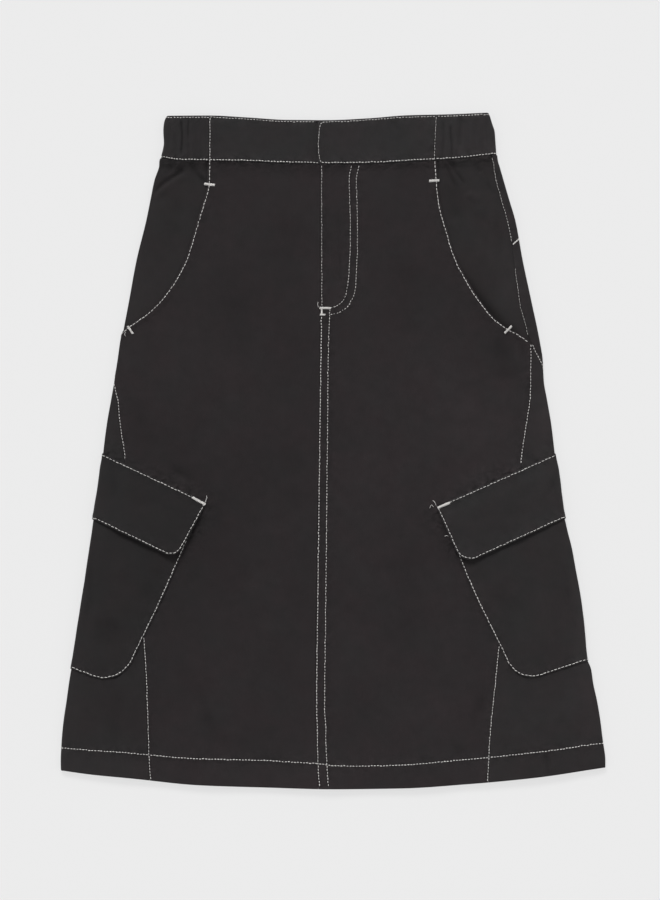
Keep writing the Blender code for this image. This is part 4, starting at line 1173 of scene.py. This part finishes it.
def build_patch(kind, word, corners, thickness, step, samples=800):
    """A pocket or a flap, over a grid between its four rounded sides."""
    inner, bottom, outer, top = quarters(corners)
    outer, top = outer[::-1], top[::-1]
    down_length, across_length = max(lengths_of(side)[-1] for side in (inner, outer)), lengths_of(bottom)[-1]
    down = levels_of(down_length, 0, step, EDGE_STEP) / down_length

    def grid(s):
        """The points at shares s across the patch, and down it at the shares of its rows."""
        t = np.repeat(1 - down[:, None], s.shape[1], axis=1)
        sides = [spaced(line, share) for line, share in ((top, s), (bottom, s), (inner, t), (outer, t))]
        a, b, c, d = top[0], top[-1], bottom[0], bottom[-1]
        s, t = s[..., None], t[..., None]
        corner = (1 - s) * (1 - t) * a + s * (1 - t) * b + (1 - s) * t * c + s * t * d
        return (1 - t) * sides[0] + t * sides[1] + (1 - s) * sides[2] + s * sides[3] - corner

    s = np.repeat(np.linspace(0, 1, samples)[None], len(down), axis=0)
    place, height = np.moveaxis(grid(s), -1, 0)
    from_fold = inwards(*at_height(place, height, BODY_FRONT), height, BODY_FRONT)
    near = (np.minimum(s, 1 - s) * across_length, EDGE_STEP), (from_fold, FOLD_STEP)
    point = grid(paced_rows(s, across_length, finest(step, *near)))
    if word == "left":
        point = point[:, ::-1]
    distance, along = nearest(point[..., 0], point[..., 1], outline_of(corners), closed=True)
    if kind == "pocket":
        point = bowed(point, word)
    place, height = point[..., 0], point[..., 1]
    turn, level = at_height(place, height, BODY_FRONT)
    layer = f"{kind}_{word}"
    # the piece's painted light and shade, darker on the left and lighter on the right, with its worn edge
    shade = PIECES[layer][2] + worn_edge(distance, along / 7)
    wall(layer, place, height, turn, level, thickness, edge_roll(distance, *PATCH_ROLL), shade)


# ---- thread ----
def tubes(layer, paths, radii, rises):
    """Short lengths of thread as one mesh. paths is an array of (threads, stations, 2) places on a layer."""
    threads, stations, _ = paths.shape
    low, high = (on_layer(layer, paths[..., 0], paths[..., 1], rises + above) for above in (0, 1))
    way = unit(np.gradient(low, axis=1))
    across = unit(np.cross(way, high - low))
    up = np.cross(across, way)
    angles = np.arange(SIDES) * 2 * math.pi / SIDES
    ring = across[..., None, :] * np.cos(angles)[:, None] + up[..., None, :] * 0.85 * np.sin(angles)[:, None]
    points = low[..., None, :] + ring * radii[..., None, None]
    index = np.arange(threads * stations * SIDES).reshape(threads, stations, SIDES)
    a, b = index[:, :-1], index[:, 1:]
    quads = np.stack([a, np.roll(a, -1, axis=2), np.roll(b, -1, axis=2), b], axis=-1).reshape(-1, 4)
    caps = [*index[:, 0, ::-1].tolist(), *index[:, -1].tolist()]
    uv = np.broadcast_to(paths[:, :, None, :], points.shape[:-1] + (2,)).copy()
    uv[..., 0] += np.arange(SIDES) * 0.3
    return points.reshape(-1, 3), quads, caps, uv.reshape(-1, 2)


def thread_piece(layer, parts):
    """A layer's sets of tubes as one piece."""
    faces, start = [], 0
    for points, quads, caps, _ in parts:
        faces += (quads + start).tolist()
        faces += [[corner + start for corner in cap] for cap in caps]
        start += len(points)
    points, uv = (np.vstack([part[k] for part in parts]) for k in (0, 3))
    piece = new_piece(f"thread_{layer}", points, faces, uv, thread)
    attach(piece, "root")
    return piece


def row_of_stitches(line, long_pitch, gap, random):
    """Ends of the stitches along a line, a little uneven."""
    lengths = lengths_of(line)
    count = max(1, round(lengths[-1] / long_pitch))
    pitch = lengths[-1] / count
    starts = (np.arange(count) + gap / 2) * pitch + random.uniform(-0.25, 0.25, count)
    ends = (np.arange(count) + 1 - gap / 2) * pitch + random.uniform(-0.25, 0.25, count)
    at = starts[:, None] + (ends - starts)[:, None] * STATIONS
    path = np.stack([np.interp(at, lengths, line[:, k]) for k in (0, 1)], axis=-1)
    tangent = unit(np.stack([path[:, -1, 1] - path[:, 0, 1], path[:, 0, 0] - path[:, -1, 0]], axis=-1))
    return path + tangent[:, None, :] * random.normal(0, 0.16, (count, 1, 1))


def bartack(layer, ax, ay, bx, by, thickness, random):
    """Close slanting stitches across a short bar."""
    length = math.hypot(bx - ax, by - ay)
    way = np.array(((bx - ax) / length, (by - ay) / length))
    side = np.array((-way[1], way[0]))
    count = int(length / BAR_STITCH)
    start = np.array((ax, ay)) + np.linspace(0, length, count)[:, None] * way
    reach = thickness / 2 * random.uniform(0.85, 1.1, (count, 1))
    path = np.stack([start + side * reach * end + way * 0.25 * end for end in (-1, -0.6, 0.6, 1)], axis=1)
    rises = np.broadcast_to(BAR_RISES, path.shape[:2]) + random.uniform(0, 0.1, (count, 1))
    return tubes(layer, path, np.full(path.shape[:2], BAR_THREAD), rises)


def loose(layer, points):
    """A loose end of thread."""
    line = curve(points, 0.8)
    rises = 0.3 + 1.1 * np.sin(np.linspace(0, 1, len(line)) * math.pi) * 0.8
    return tubes(layer, line[None], np.full((1, len(line)), LOOSE_THREAD), rises[None])


def build_threads():
    random = np.random.default_rng(7)
    threads = {}
    for layer, lines in LINES.items():
        parts = []
        for i, (line, weight) in enumerate(zip(lines, WEIGHTS[layer])):
            on_pocket = layer.startswith(("pocket", "flap")) or (layer.startswith("front") and i == 0)
            pitch, gap = (POCKET_PITCH, POCKET_GAP) if on_pocket else (PITCH, STITCH_GAP)
            path = row_of_stitches(line, pitch, gap, random)
            radii = THREAD * weight * SIZES * random.uniform(0.84, 1.16, (len(path), 1))
            rises = np.broadcast_to(RISES, radii.shape) + random.uniform(-0.03, 0.05, (len(path), 1))
            parts.append(tubes(layer, path, radii, rises))
        parts += [bartack(layer, *bar, random) for bar_layer, *bar in BARTACKS if bar_layer == layer]
        parts += [loose(layer, points) for end_layer, points in LOOSE_THREADS if end_layer == layer]
        threads[layer] = thread_piece(layer, parts)
    return threads


build_body()
build_bands()
for word in ("left", "right"):
    build_patch("pocket", word, POCKET_CORNERS[word], CLOTH, 3.4)
    build_patch("flap", word, FLAP_CORNERS[word], FLAP_CLOTH, 2.6)
threads = build_threads()


# ---- the flat width, length and area in metres of each piece ----
def measure(piece):
    """Flat width, length and area of a piece's outside, on the unrolled cloth. All its faces have four corners."""
    uv = np.empty(len(piece.data.loops) * 2)
    piece.data.uv_layers["cloth"].data.foreach_get("uv", uv)
    x, y = np.moveaxis(uv.reshape(-1, 4, 2), -1, 0)
    faces = np.abs((x * np.roll(y, -1, axis=1) - y * np.roll(x, -1, axis=1)).sum(axis=1)) / 2
    return float(np.ptp(x)), float(np.ptp(y)), float(faces.sum() / 2)


for piece in pieces.values():
    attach(piece, "root")
for layer, (_, _, _, under) in PIECES.items():
    width, length, area = measure(pieces[layer])

# ---- floor, light and camera ----
FLOOR_GREY, FLOOR_GLOW = 0.16, 0.665
bpy.ops.mesh.primitive_plane_add(size=14.0, location=(0, 0, -0.0002))
floor = bpy.context.object
floor.name = "floor"
pale_floor = Nodes("pale_floor").finish(
    Base_Color=(FLOOR_GREY, FLOOR_GREY, FLOOR_GREY, 1),
    Roughness=0.95,
    Specular_IOR_Level=0,
    Emission_Color=(FLOOR_GLOW, FLOOR_GLOW, FLOOR_GLOW, 1),
    Emission_Strength=1,
)
floor.data.materials.append(pale_floor)

scene = bpy.context.scene
world = bpy.data.worlds.new("studio")
world.use_nodes = True
sky = world.node_tree.nodes
way = sky.new("ShaderNodeTexCoord")
up = sky.new("ShaderNodeSeparateXYZ")
ramp = sky.new("ShaderNodeValToRGB")
world.node_tree.links.new(way.outputs["Generated"], up.inputs[0])
world.node_tree.links.new(up.outputs["Z"], ramp.inputs[0])
world.node_tree.links.new(ramp.outputs[0], sky["Background"].inputs["Color"])
SKY = ((0.12, (0.80, 0.80, 0.80, 1)), (0.85, (0.34, 0.34, 0.345, 1)))  # how far up, colour
for element, (position, colour) in zip(ramp.color_ramp.elements, SKY):
    element.position, element.color = position, colour
scene.world = world
scene.view_settings.view_transform = "Standard"
scene.view_settings.look = "None"

LIGHTS = (
    # name, compass way that it comes from (0 from the waist, 90 from the right), height, strength, softness
    ("key", -16, 35, 2.45, 20),
    ("left", -95, 22, 0.6, 60),
    ("right", 88, 22, 0.7, 60),
)
for name, compass, elevation, strength, softness in LIGHTS:
    data = bpy.data.lights.new(name, "SUN")
    data.energy = strength
    data.angle = math.radians(softness)
    light = bpy.data.objects.new(name, data)
    light.rotation_euler = (math.radians(90 - elevation), 0, math.radians(180 - compass))
    light.location = (0, 0, 2)
    scene.collection.objects.link(light)

CAMERA_HEIGHT, CLOTH_HEIGHT, SENSOR = 6.0, 0.005, 36.0
SEEN_LENGTH = 1.007  # how much of the floor the picture's long side shows, in metres
data = bpy.data.cameras.new("camera")
data.sensor_width = SENSOR
data.lens = SENSOR * (CAMERA_HEIGHT - CLOTH_HEIGHT) / SEEN_LENGTH
data.clip_end = 100
camera = bpy.data.objects.new("camera", data)
scene.collection.objects.link(camera)
camera.location = (-0.0034, 0.00105, CAMERA_HEIGHT)
scene.camera = camera
